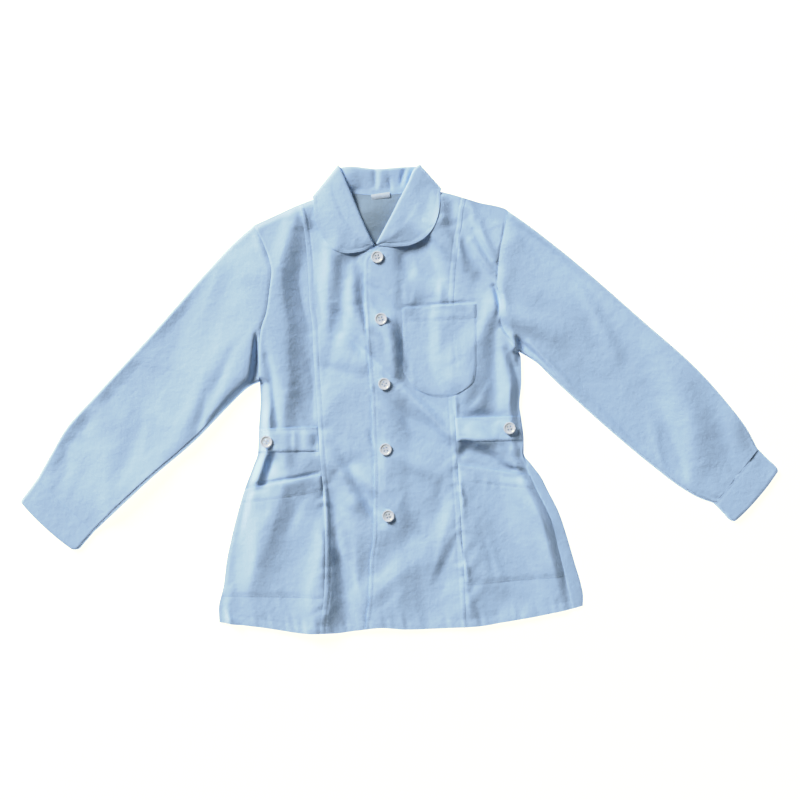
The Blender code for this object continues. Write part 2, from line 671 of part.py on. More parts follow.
def back_collar(neck_path):
    """Stations across the back: the stand lies on the leaf, which is under the back."""
    count = len(neck_path)
    rolls, leaves = spread(ROLL_BACK, count), spread(LEAF_BACK, count)
    middle = CLOTH / 2
    stations = []
    for number, (neck, roll, leaf) in enumerate(zip(neck_path, rolls, leaves)):
        rise = STAND_RISE * math.sin(math.pi * number / (count - 1))
        stations.append(collar_station(neck, roll, leaf, LAYER + middle, LAYER + middle + rise,
                                       middle, lambda x, y: middle, 0.0))
    return stations


def wrap_collar(front, back, fold):
    """Stations round the side fold, from the front layer down to the back layer."""
    neck, roll, leaf = fold
    plan = collar_station(neck, roll, leaf, 0.0, 0.0, 0.0, lambda x, y: 0.0, 0.0)
    stations = []
    for angle in WRAP_ANGLES:
        turn = math.radians(angle)
        station = []
        for upper, lower, (x, y, z) in zip(front, back, plan):
            middle = [(a + b) / 2 for a, b in zip(upper, lower)]
            out = math.sin(turn)
            station.append((lerp(lerp(upper[0], lower[0], angle / 180), x, out),
                            lerp(lerp(upper[1], lower[1], angle / 180), y, out),
                            middle[2] + (upper[2] - lower[2]) / 2 * math.cos(turn)))
        stations.append(station)
    return stations


def surface_normals(grid):
    """Normal at each point of a grid, from the faces round it."""
    rows, columns = len(grid), len(grid[0])
    total = [[Vector((0, 0, 0)) for point in row] for row in grid]
    for i in range(rows - 1):
        for j in range(columns - 1):
            corners = [(i, j), (i, j + 1), (i + 1, j + 1), (i + 1, j)]
            a, b, c, d = (Vector(grid[p][q]) for p, q in corners)
            face = (c - a).cross(d - b).normalized()
            for p, q in corners:
                total[p][q] += face
    return [[normal.normalized() for normal in row] for row in total]


def build_collar(edges, back_neck):
    first = station_index("neck_base")
    gap = SEAM_GAP + 0.1
    right_neck = [(x + gap, y + gap) for x, y in edges["lap_under"][first + 1:]]
    left_neck = [(x - gap, y + gap) for x, y in edges["lap_over"][first + 1:]]
    right = front_collar(right_neck, ROLL_RIGHT, LEAF_RIGHT)
    left = front_collar(left_neck, ROLL_LEFT, LEAF_LEFT)
    back = back_collar([(x, y + gap) for x, y in back_neck])
    grid = right + wrap_collar(right[-1], back[0], WRAP_RIGHT) + back
    grid += wrap_collar(left[-1], back[-1], WRAP_LEFT)[::-1] + left[::-1]
    normals = surface_normals(grid)
    half = CLOTH / 2
    above = [[tuple(Vector(p) + n * half) for p, n in zip(row, line)]
             for row, line in zip(grid, normals)]
    below = [[tuple(Vector(p) - n * half) for p, n in zip(row, line)]
             for row, line in zip(grid, normals)]
    face_outward(add_wall("collar", above, below, "trim"))


def build_button(name, x, y):
    """Round button with a rim and a shallow dish, resting on the highest cloth under it."""
    reach = [(x + dx * BUTTON_RADIUS, y + dy * BUTTON_RADIUS)
             for dx in (-0.9, -0.45, 0.0, 0.45, 0.9) for dy in (-0.9, -0.45, 0.0, 0.45, 0.9)]
    on_tab = name.startswith("tab")
    seat = max(front_top(px, py) for px, py in reach)
    seat += TAB_CLEAR + 0.2 + CLOTH if on_tab else max(lap_lift(px, py) for px, py in reach)
    seat += SEAM_GAP + 0.1
    profile = ((0.62, 0.0), (0.92, 0.25), (1.0, 0.55), (1.0, 0.75), (0.9, 1.0), (0.78, 1.0),
               (0.62, 1.0 - BUTTON_DISH / BUTTON_THICK))
    points, faces = [], []
    for radius, height in profile:
        for side in range(BUTTON_SIDES):
            turn = 2 * math.pi * side / BUTTON_SIDES
            points.append((x + radius * BUTTON_RADIUS * math.cos(turn),
                           y + radius * BUTTON_RADIUS * math.sin(turn),
                           seat + height * BUTTON_THICK))
    for ring in range(len(profile) - 1):
        for side in range(BUTTON_SIDES):
            a = ring * BUTTON_SIDES + side
            b = ring * BUTTON_SIDES + (side + 1) % BUTTON_SIDES
            faces.append((a, b, b + BUTTON_SIDES, a + BUTTON_SIDES))
    last = (len(profile) - 1) * BUTTON_SIDES
    faces.append(tuple(reversed(range(BUTTON_SIDES))))
    faces.append(tuple(range(last, last + BUTTON_SIDES)))
    add_object(name, points, faces, "button")


def build_label():
    """Small folded size label across the back neck seam, left bare."""
    turn = math.radians(LABEL["turn"])
    along_x = (math.cos(turn), math.sin(turn))
    grid = []
    for across in (-0.5, 0.5):
        row = []
        for step in (-0.5, -0.17, 0.17, 0.5):
            dx, dy = step * LABEL["length"], across * LABEL["width"]
            row.append((LABEL["x"] + dx * along_x[0] - dy * along_x[1],
                        LABEL["y"] + dx * along_x[1] + dy * along_x[0]))
        grid.append(row)
    under = 2 * LAYER + LABEL_CLEAR
    lay_wall("size_label", grid, lambda x, y: under, "label", LABEL["thick"])


def rest_on_origin():
    """Slide the whole jacket so that its box is centred on the origin and rests at z = 0."""
    corners = [vertex.co for body in bpy.data.objects for vertex in body.data.vertices]
    low = [min(corner[axis] for corner in corners) for axis in range(3)]
    high = [max(corner[axis] for corner in corners) for axis in range(3)]
    move = Vector((-(low[0] + high[0]) / 2, -(low[1] + high[1]) / 2, -low[2]))
    for body in bpy.data.objects:
        for vertex in body.data.vertices:
            vertex.co += move


def main():
    for body in list(bpy.data.objects):
        bpy.data.objects.remove(body, do_unlink=True)
    edges = body_edges()
    build_back(edges)
    grids = build_fronts(edges)
    build_pockets_and_tabs(grids)
    build_chest_pocket()
    first = station_index("underarm")
    build_sleeve("sleeve_right", SLEEVE_RIGHT_SECTIONS, edges["side_right"][first:][::-1], -1)
    build_sleeve("sleeve_left", SLEEVE_LEFT_SECTIONS, edges["side_left"][first:][::-1], 1)
    build_cuff("cuff_right", CUFF_RIGHT_SECTIONS)
    build_cuff("cuff_left", CUFF_LEFT_SECTIONS)
    build_collar(edges, BACK_NECK)
    for name, x, y in BUTTONS:
        build_button(name, x, y)
    build_label()
    rest_on_origin()


main()
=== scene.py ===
"""Nurse uniform jacket, laid flat: its cloth, stitching, buttons and stage.

Tables are in millimetres, seen from above: X to the right, Y towards the collar, Z up.
"right" and "left" in names are the wearer's own.
"""
import math
from types import SimpleNamespace

import bpy
import numpy as np
from bpy.props import FloatProperty, PointerProperty, StringProperty
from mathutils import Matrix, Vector


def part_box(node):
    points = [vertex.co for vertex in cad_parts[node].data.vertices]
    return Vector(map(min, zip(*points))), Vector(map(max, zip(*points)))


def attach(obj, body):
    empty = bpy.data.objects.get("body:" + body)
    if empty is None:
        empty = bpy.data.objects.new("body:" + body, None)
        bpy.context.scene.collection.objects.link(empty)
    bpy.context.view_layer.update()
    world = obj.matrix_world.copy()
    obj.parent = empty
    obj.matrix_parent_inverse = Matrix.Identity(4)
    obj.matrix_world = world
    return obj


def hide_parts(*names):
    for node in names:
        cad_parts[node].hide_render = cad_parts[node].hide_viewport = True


bl_info = {
    "name": "Nurse uniform jacket",
    "version": (1, 0, 0),
    "blender": (4, 5, 0),
    "location": "View3D > Sidebar > Jacket",
    "description": "Cloth, stitching, buttons and stage of a jacket laid flat",
    "category": "Object",
}

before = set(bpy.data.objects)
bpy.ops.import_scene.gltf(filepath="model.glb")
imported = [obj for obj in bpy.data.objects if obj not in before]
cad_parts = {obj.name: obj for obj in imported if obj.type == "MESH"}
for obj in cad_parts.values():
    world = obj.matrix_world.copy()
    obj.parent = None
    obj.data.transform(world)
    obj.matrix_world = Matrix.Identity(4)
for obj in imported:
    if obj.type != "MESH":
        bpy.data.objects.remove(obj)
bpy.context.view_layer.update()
MM = 0.001

# ---- Where the edges and seams run, hem to shoulder: rows of (y, x).
SIDE_RIGHT = ((-349, -268), (-333, -270.5), (-313.5, -271.5), (-277.5, -264), (-241.5, -259.5),
              (-205.5, -252), (-169.5, -243), (-133.5, -232.5), (-97.5, -219), (-79.5, -213),
              (-43.5, -211.5), (0, -209), (27, -210), (54, -212.5), (104, -208), (132, -199.5),
              (165, -195), (191.5, -192), (207, -195), (234.5, -205), (261, -219.5))
SIDE_LEFT = ((-330, 272), (-311, 274), (-295.5, 274.5), (-277.5, 271.5), (-241.5, 261),
             (-205.5, 250.5), (-169.5, 238.5), (-133.5, 220.5), (-115.5, 211.5), (-97.5, 198),
             (-79.5, 185.5), (-61.5, 185.5), (-25.5, 181.5), (-7.5, 179), (28.5, 182),
             (64.5, 181), (72, 178), (84, 170), (120, 150), (150, 150.5), (171, 145),
             (214.5, 148), (247.5, 154.5), (283.5, 162))
SIDE_SEAM_LEFT = ((-330, 263), (-300, 257), (-231, 240.5), (-181.5, 228), (-134, 205.5),
                  (-112.5, 195.5), (-97.5, 190), (-79.5, 183.5), (-61.5, 184.5)) + SIDE_LEFT[12:]
PRINCESS_RIGHT = ((-350, -119), (-337.5, -118.5), (-285, -112.5), (-225, -111), (-165, -113),
                  (-112.5, -117), (-60, -121.5), (-7.5, -124.5), (30, -127.5), (73.5, -130),
                  (106.5, -131), (145.5, -136), (195, -138), (276, -147), (291.5, -152))
PRINCESS_LEFT = ((-341, 99.5), (-268.5, 96), (-193.5, 91.5), (-144, 88.5), (-94.5, 86),
                 (-28.5, 82), (10.5, 80.5), (142.5, 80), (171, 81.5), (205.5, 84), (240, 88),
                 (260.5, 92.5), (283.5, 95), (301.5, 99))
LAP_UNDER = ((-345, -14), (-200, -8), (0, -10), (150, -14), (222, -16), (232.5, -43),
             (243, -57.5), (262, -66), (280, -73), (299, -81), (313, -88))
LAP_OVER = ((-345, -51), (-286.5, -44.5), (-240, -43), (-202.5, -38.5), (-120, -37.5),
            (-36, -40), (-1.5, -41), (51, -45), (102, -49), (154.5, -51.5), (204, -52.5),
            (226, -38), (240, -22), (262, -4), (285, 6), (303, 13), (315, 17))
# Rows of the panels' grids: cells up to the next station, and its y on each long edge.
STATIONS = ("name", "cells", "side_right", "princess_right", "lap_under", "lap_over",
            "princess_left", "side_left")
STATION_ROWS = (
    ("hem", 18, -333, -348, -342, -343, -340.5, -311.5),
    ("pocket_bottom", 68, -294.5, -296, -290, -290, -278, -265),
    ("pocket_mouth", 16, -133, -112.5, -105, -105, -96.5, -112.5),
    ("tab_bottom", 14, -78.5, -76.5, -68, -68, -62, -61),
    ("tab_top", 28, -43.5, -40, -34, -34, -27.5, -24),
    ("underarm", 38, 27, 30, 38, 38, 40, 72),
    ("chest", 32, 120, 128, 140, 140, 135, 150),
    ("neck_base", 38, 195, 195, 226, 222, 205.5, 214),
    ("shoulder", 0, 261, 291.5, 313, 315, 301.5, 283.5),
)
# Ends of the panels, and the back's edge inside the neck: rows of (x, y).
HEM_LINE = ((-270, -333), (-207, -340.5), (-135, -349), (-99, -349), (-63, -345), (-27, -341),
            (9, -343.5), (81, -341), (117, -339), (153, -333), (189, -327), (225, -320),
            (261, -312), (275, -308))
SHOULDER_LINE = ((-219.5, 261), (-168, 284.5), (-152, 291.5), (-132, 299), (-110, 306),
                 (-88, 313), (17, 315), (45, 312.5), (61.5, 311), (99, 301.5), (115.5, 296.5),
                 (157.5, 286.5), (162, 283.5))
BACK_NECK = ((-88, 313), (-73.5, 309.5), (-33, 306.5), (4, 309.5), (17, 315))

# ---- Creases. A ridge has a height over 0 and a trough one under 0, in mm. Bow bends the
# run sideways, and the half-width goes from start to end.
FOLD = ("x0", "y0", "x1", "y1", "bow", "width", "end_width", "height")
SMOOTHED = (0.77, -0.64)  # the cloth was smoothed down from the upper left, and folds lean so
FOLD_LEAN = 0.3
SIDE_RIGHT_FOLDS = (
    (-147, 284, -138, 260, 0, 4.6, 5.4, 2.9),
    (-160, 253, -153, 280, 0, 11, 11, 2.0),
    (-170, 262, -186, 205, 3, 5.7, 5.1, -0.5),
    (-166, 270, -190, 176, 5, 12.2, 22.8, 5.0),
    (-126, 265, -119, 173, 0, 10.5, 10.5, 0.5),
    (-157, 147, -157, 211, 0, 20.2, 20.2, -1.2),
    (-188, 165, -181, 192, 0, 10.2, 10.2, 2.9),
    (-182, 95, -213, 211, 0, 23.8, 23.8, 7.1),
    (-120, 93, -151, 209, 0, 14.1, 14.1, -2.2),
    (-134, 173, -118, 117, 2, 13.2, 10.9, -2.6),
    (-178, 180, -164, 92, -3, 25.5, 38.2, 0.4),
    (-140, 85, -185, 130, 0, 20.7, 20.7, 1.6),
    (-197, 122, -187, 50, 0, 5.2, 9.1, 1.5),
    (-181, 100, -173, 2, 0, 23.3, 18.1, 4.0),
    (-168, 18, -185, 80, 0, 16.6, 16.6, 5.6),
    (-139, 66, -120, 22, 0, 9.1, 9.1, -2.0),
    (-129, -20, -160, 96, 0, 18, 18, 0.5),
    (-129, 84, -130, -36, 0, 3.8, 3.8, -0.6),
    (-195, 64, -183, -38, 0, 6.3, 6.3, -3.4),
    (-178, -20, -223, 25, 0, 18, 18, 2.2),
    (-170, 21, -172, -39, 0, 14, 10.8, 3.5),
    (-153, -5, -145, -35, 0, 6.2, 6.2, 0.6),
    (-209, -52, -209, 12, 0, 2.7, 2.7, -2.3),
    (-198, -38, -205, -11, 0, 7.4, 7.4, 4.9),
    (-226, -45, -106, -45, 0, 5.1, 5.1, -1.1),
    (-175, -115, -206, 1, 0, 15.2, 15.2, 2.7),
    (-206, -80, -179, -73, 0, 7.1, 7.1, 2.7),
    (-207, -104, -200, -77, 0, 3.5, 3.5, 1.0),
    (-171, -78, -171, -106, 0, 5.4, 5.4, 1.3),
    (-142, -78, -142, -110, 0, 13.1, 13.1, 1.5),
    (-136, -146, -196, -42, 0, 17.5, 17.5, 5.1),
    (-176, -81, -166, -109, 0, 6, 6, 1.4),
    (-200, -68, -222, -130, 0, 9, 10.3, 4.6),
    (-187, -78, -191, -124, 0, 12.2, 13.7, -4.1),
    (-184, -161, -244, -57, 0, 24.8, 24.8, 0.7),
    (-180, -126, -235, -94, 0, 17.6, 17.6, 6.1),
    (-148, -123, -175, -116, 0, 14.6, 14.6, 1.8),
    (-232, -139, -205, -132, 0, 6, 6, -2.5),
    (-250, -207, -219, -91, 0, 3.4, 3.4, -1.0),
    (-202, -211, -171, -95, 0, 5.2, 5.2, -0.4),
    (-236, -209, -219, -147, 0, 14.6, 14.6, 3.1),
    (-240, -253, -240, -133, 0, 23.9, 23.9, -5.5),
    (-235, -323, -266, -207, 0, 15.2, 15.2, -3.4),
    (-169, -341, -186, -279, 0, 6.5, 6.5, 0.9),
    (-126, -381, -157, -265, 0, 23.9, 23.9, 1.4),
    (-149, -359, -132, -297, 0, 34.2, 34.2, 3.2),
    (-242, -342, -262, -322, 0, 6.4, 6.4, 7.4),
    (-93, -371, -197, -311, 0, 18, 18, 1.7),
    (-123, -353, -150, -346, 0, 14.5, 14.5, 5.7),
)
CENTRE_RIGHT_FOLDS = (
    (-80, 215, -100, 235, 0, 8.6, 8.6, 3.2),
    (-64, 201, -71, 228, 0, 9, 9, -3.4),
    (-105, 177, -122, 239, 0, 7.2, 7.2, -1.0),
    (-105, 226, -107, 150, 0, 12.9, 14.6, 6.4),
    (-57, 220, -54, 150, 0, 7.9, 7, -1.5),
    (-128, 246, -125, 108, 0, 19.7, 17.5, -2.8),
    (-70, 216, -72, 130, 0, 5.6, 13.1, 1.8),
    (-74, 140, -74, 168, 0, 10.2, 10.2, 3.4),
    (-60, 160, -50, 98, 2, 5.2, 3, -2.2),
    (-75, 155, -97, 77, -3, 12.1, 12.1, -2.1),
    (-71, 143, -65, 73, 0, 10.8, 25.9, 3.9),
    (-12, 65, -97, 150, 0, 11, 11, 3.2),
    (-98, 93, -91, 120, 0, 12.1, 12.1, -2.3),
    (-39, 42, -99, 146, 0, 12.1, 12.1, -3.1),
    (-46, 64, -53, 91, 0, 9, 9, 2.9),
    (-73, 60, -43, 44, 0, 13.2, 13.2, 2.8),
    (-116, 50, -82, 42, 0, 7.3, 9.1, -1.2),
    (-99, 41, -53, 37, 0, 11.2, 11.2, -0.9),
    (-106, 30, -84, 34, 0, 11, 11, -0.5),
    (-132, -32, -101, 84, 0, 14.9, 14.9, -2.2),
    (-109, -13, -81, 19, 0, 13.2, 13.2, 1.0),
    (-100, 4, -64, -34, 0, 11.6, 11.6, -0.8),
    (-114, -36, -74, -66, 0, 12.7, 12.7, -1.6),
    (-45, -47, -40, -67, 0, 3, 3, -1.7),
    (-112, -82, -70, -80, 0, 13.1, 13.1, 1.4),
    (-79, -99, -43, -93, 0, 21, 23.6, -1.9),
    (-46, -130, -150, -70, 0, 12.6, 12.6, 4.1),
    (-114, -116, -72, -95, 0, 7.7, 7.7, -0.7),
    (-87, -103, -59, -156, -5, 6.4, 10.1, 1.2),
    (-29, -183, -89, -79, 0, 8.8, 8.8, -3.8),
    (-108, -130, -84, -178, 0, 12.7, 11.4, -3.9),
    (-58, -165, -78, -145, 0, 10.6, 10.6, 3.2),
    (-52, -144, -36, -176, 0, 10.3, 10.3, -1.8),
    (-112, -134, -108, -200, 0, 3.6, 6.1, 3.6),
    (-99, -176, -87, -252, 0, 7.2, 10.9, -1.7),
    (-36, -184, -35, -250, 0, 8.7, 8.7, 0.6),
    (-103, -232, -117, -208, 0, 8.6, 8.6, 3.2),
    (-82, -262, -99, -200, 0, 8.5, 8.5, -2.1),
    (-65, -202, -64, -284, 0, 8.8, 6.4, 1.4),
    (-117, -193, -110, -347, 0, 12.9, 22, 5.1),
    (-62, -301, -79, -239, 0, 6.1, 6.1, -1.5),
    (-88, -245, -74, -343, 0, 13.2, 17.5, -4.2),
    (-124, -367, -124, -247, 0, 20.2, 20.2, 6.6),
)
CENTRE_LEFT_FOLDS = (
    (82, 271, 75, 298, 0, 10.4, 10.4, -2.9),
    (55, 299, 58, 257, 0, 9.1, 12.9, 5.3),
    (63, 242, 43, 262, 0, 12.1, 12.1, 4.0),
    (20, 228, 65, 273, 0, 5.2, 5.2, 2.3),
    (60, 276, 63, 206, 0, 16.4, 12.9, 1.7),
    (116, 193, 31, 278, 0, 20.7, 20.7, 2.1),
    (108, 192, 23, 277, 0, 10.6, 10.6, 4.6),
    (68, 166, 8, 270, 0, 11, 11, -3.6),
    (29, 238, 48, 190, -3, 14.5, 7.2, -3.5),
    (6, 229, 14, 189, 0, 13.9, 9.3, -3.5),
    (8, 225, 17, 183, 0, 10.9, 15.5, -2.2),
    (37, 239, 46, 159, 0, 17.5, 21.8, -3.8),
    (-5, 201, -1, 151, 0, 9.1, 9.1, -0.4),
    (96, 135, 96, 199, 0, 24.8, 24.8, 1.2),
    (61, 146, 61, 174, 0, 6.2, 6.2, 2.1),
    (4, 117, -81, 202, 0, 12.6, 12.6, -4.6),
    (1, 174, 0, 134, 2, 6.3, 7.4, -1.2),
    (129, 122, 25, 182, 0, 11, 11, 2.2),
    (23, 161, 15, 141, 0, 3.8, 3.8, 0.6),
    (-19, 135, 101, 135, 0, 6.2, 6.2, -0.8),
    (43, 119, 43, 147, 0, 10.6, 10.6, -2.1),
    (43, 101, -61, 161, 0, 10.8, 10.8, -1.6),
    (-36, 127, -6, 89, 0, 6.1, 9.2, 3.3),
    (-4, 124, 4, 78, -2, 7.4, 8.5, -1.1),
    (31, 54, 31, 118, 0, 23.8, 23.8, -3.4),
    (-41, 100, -39, 50, 0, 7.2, 7.2, -1.2),
    (3, 17, -82, 102, 0, 6.5, 6.5, -3.6),
    (-14, 83, -7, 31, 2, 8.7, 5.4, 1.0),
    (-24, 57, -26, 39, 0, 8.7, 8.7, 0.9),
    (69, -6, 9, 98, 0, 19.9, 19.9, -4.8),
    (-14, -14, -45, 102, 0, 23.8, 23.8, 3.6),
    (-4, 33, 74, -17, -4, 6.5, 10.9, -3.1),
    (104, -62, 44, 42, 0, 11, 11, -1.8),
    (-36, 16, 36, -42, -4, 5.1, 12.7, -2.7),
    (-33, -15, -21, -27, 0, 3.9, 3.9, -0.6),
    (89, -68, 4, 17, 0, 7.5, 7.5, 4.9),
    (0, -16, 20, -50, 0, 8.6, 6.5, -0.9),
    (8, -52, 60, -62, 0, 19.7, 19.7, -2.5),
    (93, -102, 8, -17, 0, 17.3, 17.3, -2.8),
    (-21, -120, -21, -56, 0, 12.6, 12.6, 2.3),
    (60, -100, 77, -82, 0, 4.5, 4.5, -0.4),
    (-14, -76, 52, -110, -3, 10.4, 12.9, 3.2),
    (-36, -135, -6, -132, 0, 5.5, 5.5, 0.6),
    (65, -125, 55, -147, 0, 5.2, 5.2, -0.6),
    (65, -132, 60, -164, 0, 9.1, 7.3, -0.8),
    (25, -192, -60, -107, 0, 10.6, 10.6, 4.4),
    (5, -146, -9, -162, 0, 5.6, 5.6, 0.5),
    (73, -138, 46, -196, 0, 12.9, 16.4, -1.9),
    (39, -168, 38, -198, 0, 7.4, 7.4, 0.7),
    (91, -189, 75, -209, 0, 6.5, 7.5, 1.0),
    (40, -175, -13, -223, 4, 16.4, 16.4, -1.6),
    (47, -276, 78, -160, 0, 10.2, 10.2, 1.6),
    (3, -262, 88, -177, 0, 23.8, 23.8, 1.2),
    (-14, -236, 24, -222, 0, 18.5, 18.5, -0.8),
    (86, -195, 49, -283, 4, 5.2, 7.8, -1.0),
    (69, -235, 59, -257, 0, 4.6, 4.6, -0.4),
    (-85, -281, 19, -221, 0, 28.5, 28.5, -3.6),
    (4, -235, -32, -279, 0, 11.6, 9.1, 0.7),
    (28, -237, 30, -285, 0, 13.1, 15.9, -1.7),
    (53, -306, 70, -244, 0, 23.8, 23.8, -3.8),
    (9, -253, -43, -301, -3, 5.1, 9, 0.5),
    (57, -307, 71, -283, 0, 6.5, 6.5, 1.1),
    (-44, -322, 1, -277, 0, 11, 11, -0.9),
    (86, -280, 84, -330, 0, 10.9, 10.9, -0.8),
    (61, -277, 63, -335, 0, 29, 23.6, -3.2),
    (-13, -287, -7, -335, 0, 16.4, 14.6, -1.5),
    (53, -347, 36, -285, 0, 18, 18, -1.7),
)
SIDE_LEFT_FOLDS = (
    (140, 286, 78, 303, 0, 11, 11, -3.1),
    (146, 263, 114, 318, 0, 17.3, 17.3, -5.3),
    (203, 248, 99, 308, 0, 11, 11, -2.3),
    (207, 230, 122, 315, 0, 18, 18, -1.0),
    (107, 291, 138, 209, -5, 6.6, 8.7, 2.5),
    (155, 228, 39, 259, 0, 18, 18, 1.3),
    (119, 264, 141, 210, -2, 5.2, 5.2, 2.6),
    (110, 255, 147, 195, -2, 3.1, 6.3, -2.3),
    (88, 242, 94, 200, -2, 3.5, 7.1, 2.7),
    (106, 237, 141, 187, -2, 6, 6, 4.0),
    (193, 164, 108, 249, 0, 20.7, 20.7, 3.4),
    (172, 148, 127, 193, 0, 11, 11, 0.6),
    (141, 170, 147, 128, 4, 3.7, 4.4, -5.5),
    (164, 114, 147, 176, 0, 6.5, 6.5, 2.6),
    (101, 164, 115, 114, 0, 10.6, 7.5, 1.0),
    (207, 83, 122, 168, 0, 11, 11, 0.8),
    (225, 94, 121, 154, 0, 10.6, 10.6, 3.0),
    (236, 107, 120, 138, 0, 17.2, 17.2, 3.1),
    (133, 141, 111, 75, 3, 11.3, 12.7, 2.3),
    (74, 54, 159, 139, 0, 28.5, 28.5, 3.5),
    (165, 96, 175, 56, 0, 6.2, 4.6, 2.6),
    (149, 92, 164, 18, 2, 8.7, 13.2, 2.3),
    (142, 118, 146, -22, -2, 12.9, 14.5, -4.7),
    (111, 82, 91, 12, 0, 11.6, 9.1, -0.9),
    (191, 17, 159, 72, 0, 7.5, 7.5, -5.4),
    (111, -1, 79, 54, 0, 23.8, 23.8, 7.3),
    (136, 26, 108, -18, 0, 7.2, 7.2, 1.0),
    (163, 29, 168, -21, 0, 7.6, 7.6, 2.1),
    (91, 22, 80, -14, 0, 11.2, 9.3, -1.0),
    (82, 3, 84, -21, 0, 3.7, 3.7, 3.2),
    (161, 9, 145, -35, 0, 15.4, 17.5, 1.8),
    (92, -28, 156, -28, 0, 8.6, 8.6, -3.2),
    (181, -65, 77, -5, 0, 15.2, 15.2, -3.7),
    (146, -66, 84, -49, 0, 14.5, 14.5, 7.3),
    (92, -58, 134, -62, 0, 4.2, 6.4, 2.2),
    (138, -68, 202, -68, 0, 7.5, 7.5, -1.9),
    (163, -61, 195, -98, 0, 6.2, 4.5, 3.5),
    (83, -70, 85, -92, 0, 5.6, 5.6, 1.5),
    (129, -60, 195, -109, -4, 12.6, 5.3, 3.5),
    (185, -121, 81, -61, 0, 8.6, 8.6, -2.2),
    (182, -137, 78, -77, 0, 23.9, 23.9, -3.2),
    (198, -120, 136, -103, 0, 7.1, 7.1, -3.0),
    (149, -161, 64, -76, 0, 20.7, 20.7, -2.4),
    (165, -218, 134, -102, 0, 34.2, 34.2, -3.9),
    (241, -212, 181, -108, 0, 12.4, 12.4, 4.4),
    (238, -204, 153, -119, 0, 11, 11, 3.1),
    (183, -126, 217, -218, -4, 7.5, 7.5, 0.5),
    (210, -304, 150, -200, 0, 21, 21, -4.3),
    (265, -283, 233, -228, 0, 12.4, 12.4, 2.5),
    (227, -302, 142, -217, 0, 24.8, 24.8, -2.5),
    (97, -343, 97, -223, 0, 12.3, 12.3, 1.4),
    (160, -284, 166, -310, 0, 13.1, 13.1, -1.2),
    (175, -314, 120, -282, 0, 18, 18, -2.8),
    (100, -282, 110, -340, 0, 4.5, 6, 1.8),
    (136, -321, 198, -304, 0, 11, 11, -0.8),
)
POCKET_FOLDS = (
    (33, 140, 41, 72, 0, 19.7, 17.4, -4.2),
    (59, 114, 57, 76, 0, 5.3, 5.3, 0.8),
    (39, 116, 35, 48, 0, 9.7, 9.7, 1.3),
    (89, 107, 85, 51, 0, 15.9, 15.9, -2.6),
    (77, 112, 85, 44, 0, 1.6, 1.6, -0.5),
    (71, 84, 67, 36, 0, 7.6, 7.6, -0.8),
    (20, 66, 50, 20, 0, 14.6, 12.8, -1.6),
    (79, 49, 93, 29, 0, 7.7, 7.7, -1.1),
    (218, -123, 224, -149, 0, 6.1, 6.1, -1.1),
    (-141, -125, -136, -151, 0, 7.4, 7.4, -1.2),
    (88, -125, 94, -153, 0, 3.8, 3.8, 2.8),
    (-177, -131, -199, -195, 0, 15.1, 13, 3.2),
    (95, -150, 90, -180, 0, 5.4, 5.4, 1.2),
    (-149, -151, -165, -193, 0, 10.5, 10.5, -1.5),
    (204, -126, 226, -242, 0, 16.5, 14.6, 2.4),
    (-203, -162, -217, -252, 0, 21.8, 26.3, 6.3),
    (121, -181, 143, -265, -2, 6.1, 7.6, -0.7),
    (-198, -187, -225, -283, 0, 15.6, 10.3, 1.8),
    (90, -213, 102, -267, 0, 2.7, 3.6, 1.8),
    (135, -223, 141, -265, 0, 6.1, 6.1, -0.7),
    (154, -237, 164, -267, 0, 10.5, 10.5, -0.8),
)
TAB_FOLDS = (
    (185, -26, 187, -60, 0, 6.2, 7.8, -4.4),
    (85, -33, 89, -55, 0, 5.1, 5.1, 1.3),
    (137, -31, 136, -61, 0, 8.5, 8.5, -0.9),
    (-142, -44, -139, -70, 0, 6.6, 6.6, 0.8),
    (-124, -42, -125, -76, 0, 6.2, 6.2, -3.2),
    (-158, -44, -157, -76, 0, 4.3, 4.3, 1.3),
    (-169, -44, -170, -76, 0, 10.9, 10.9, 2.0),
)
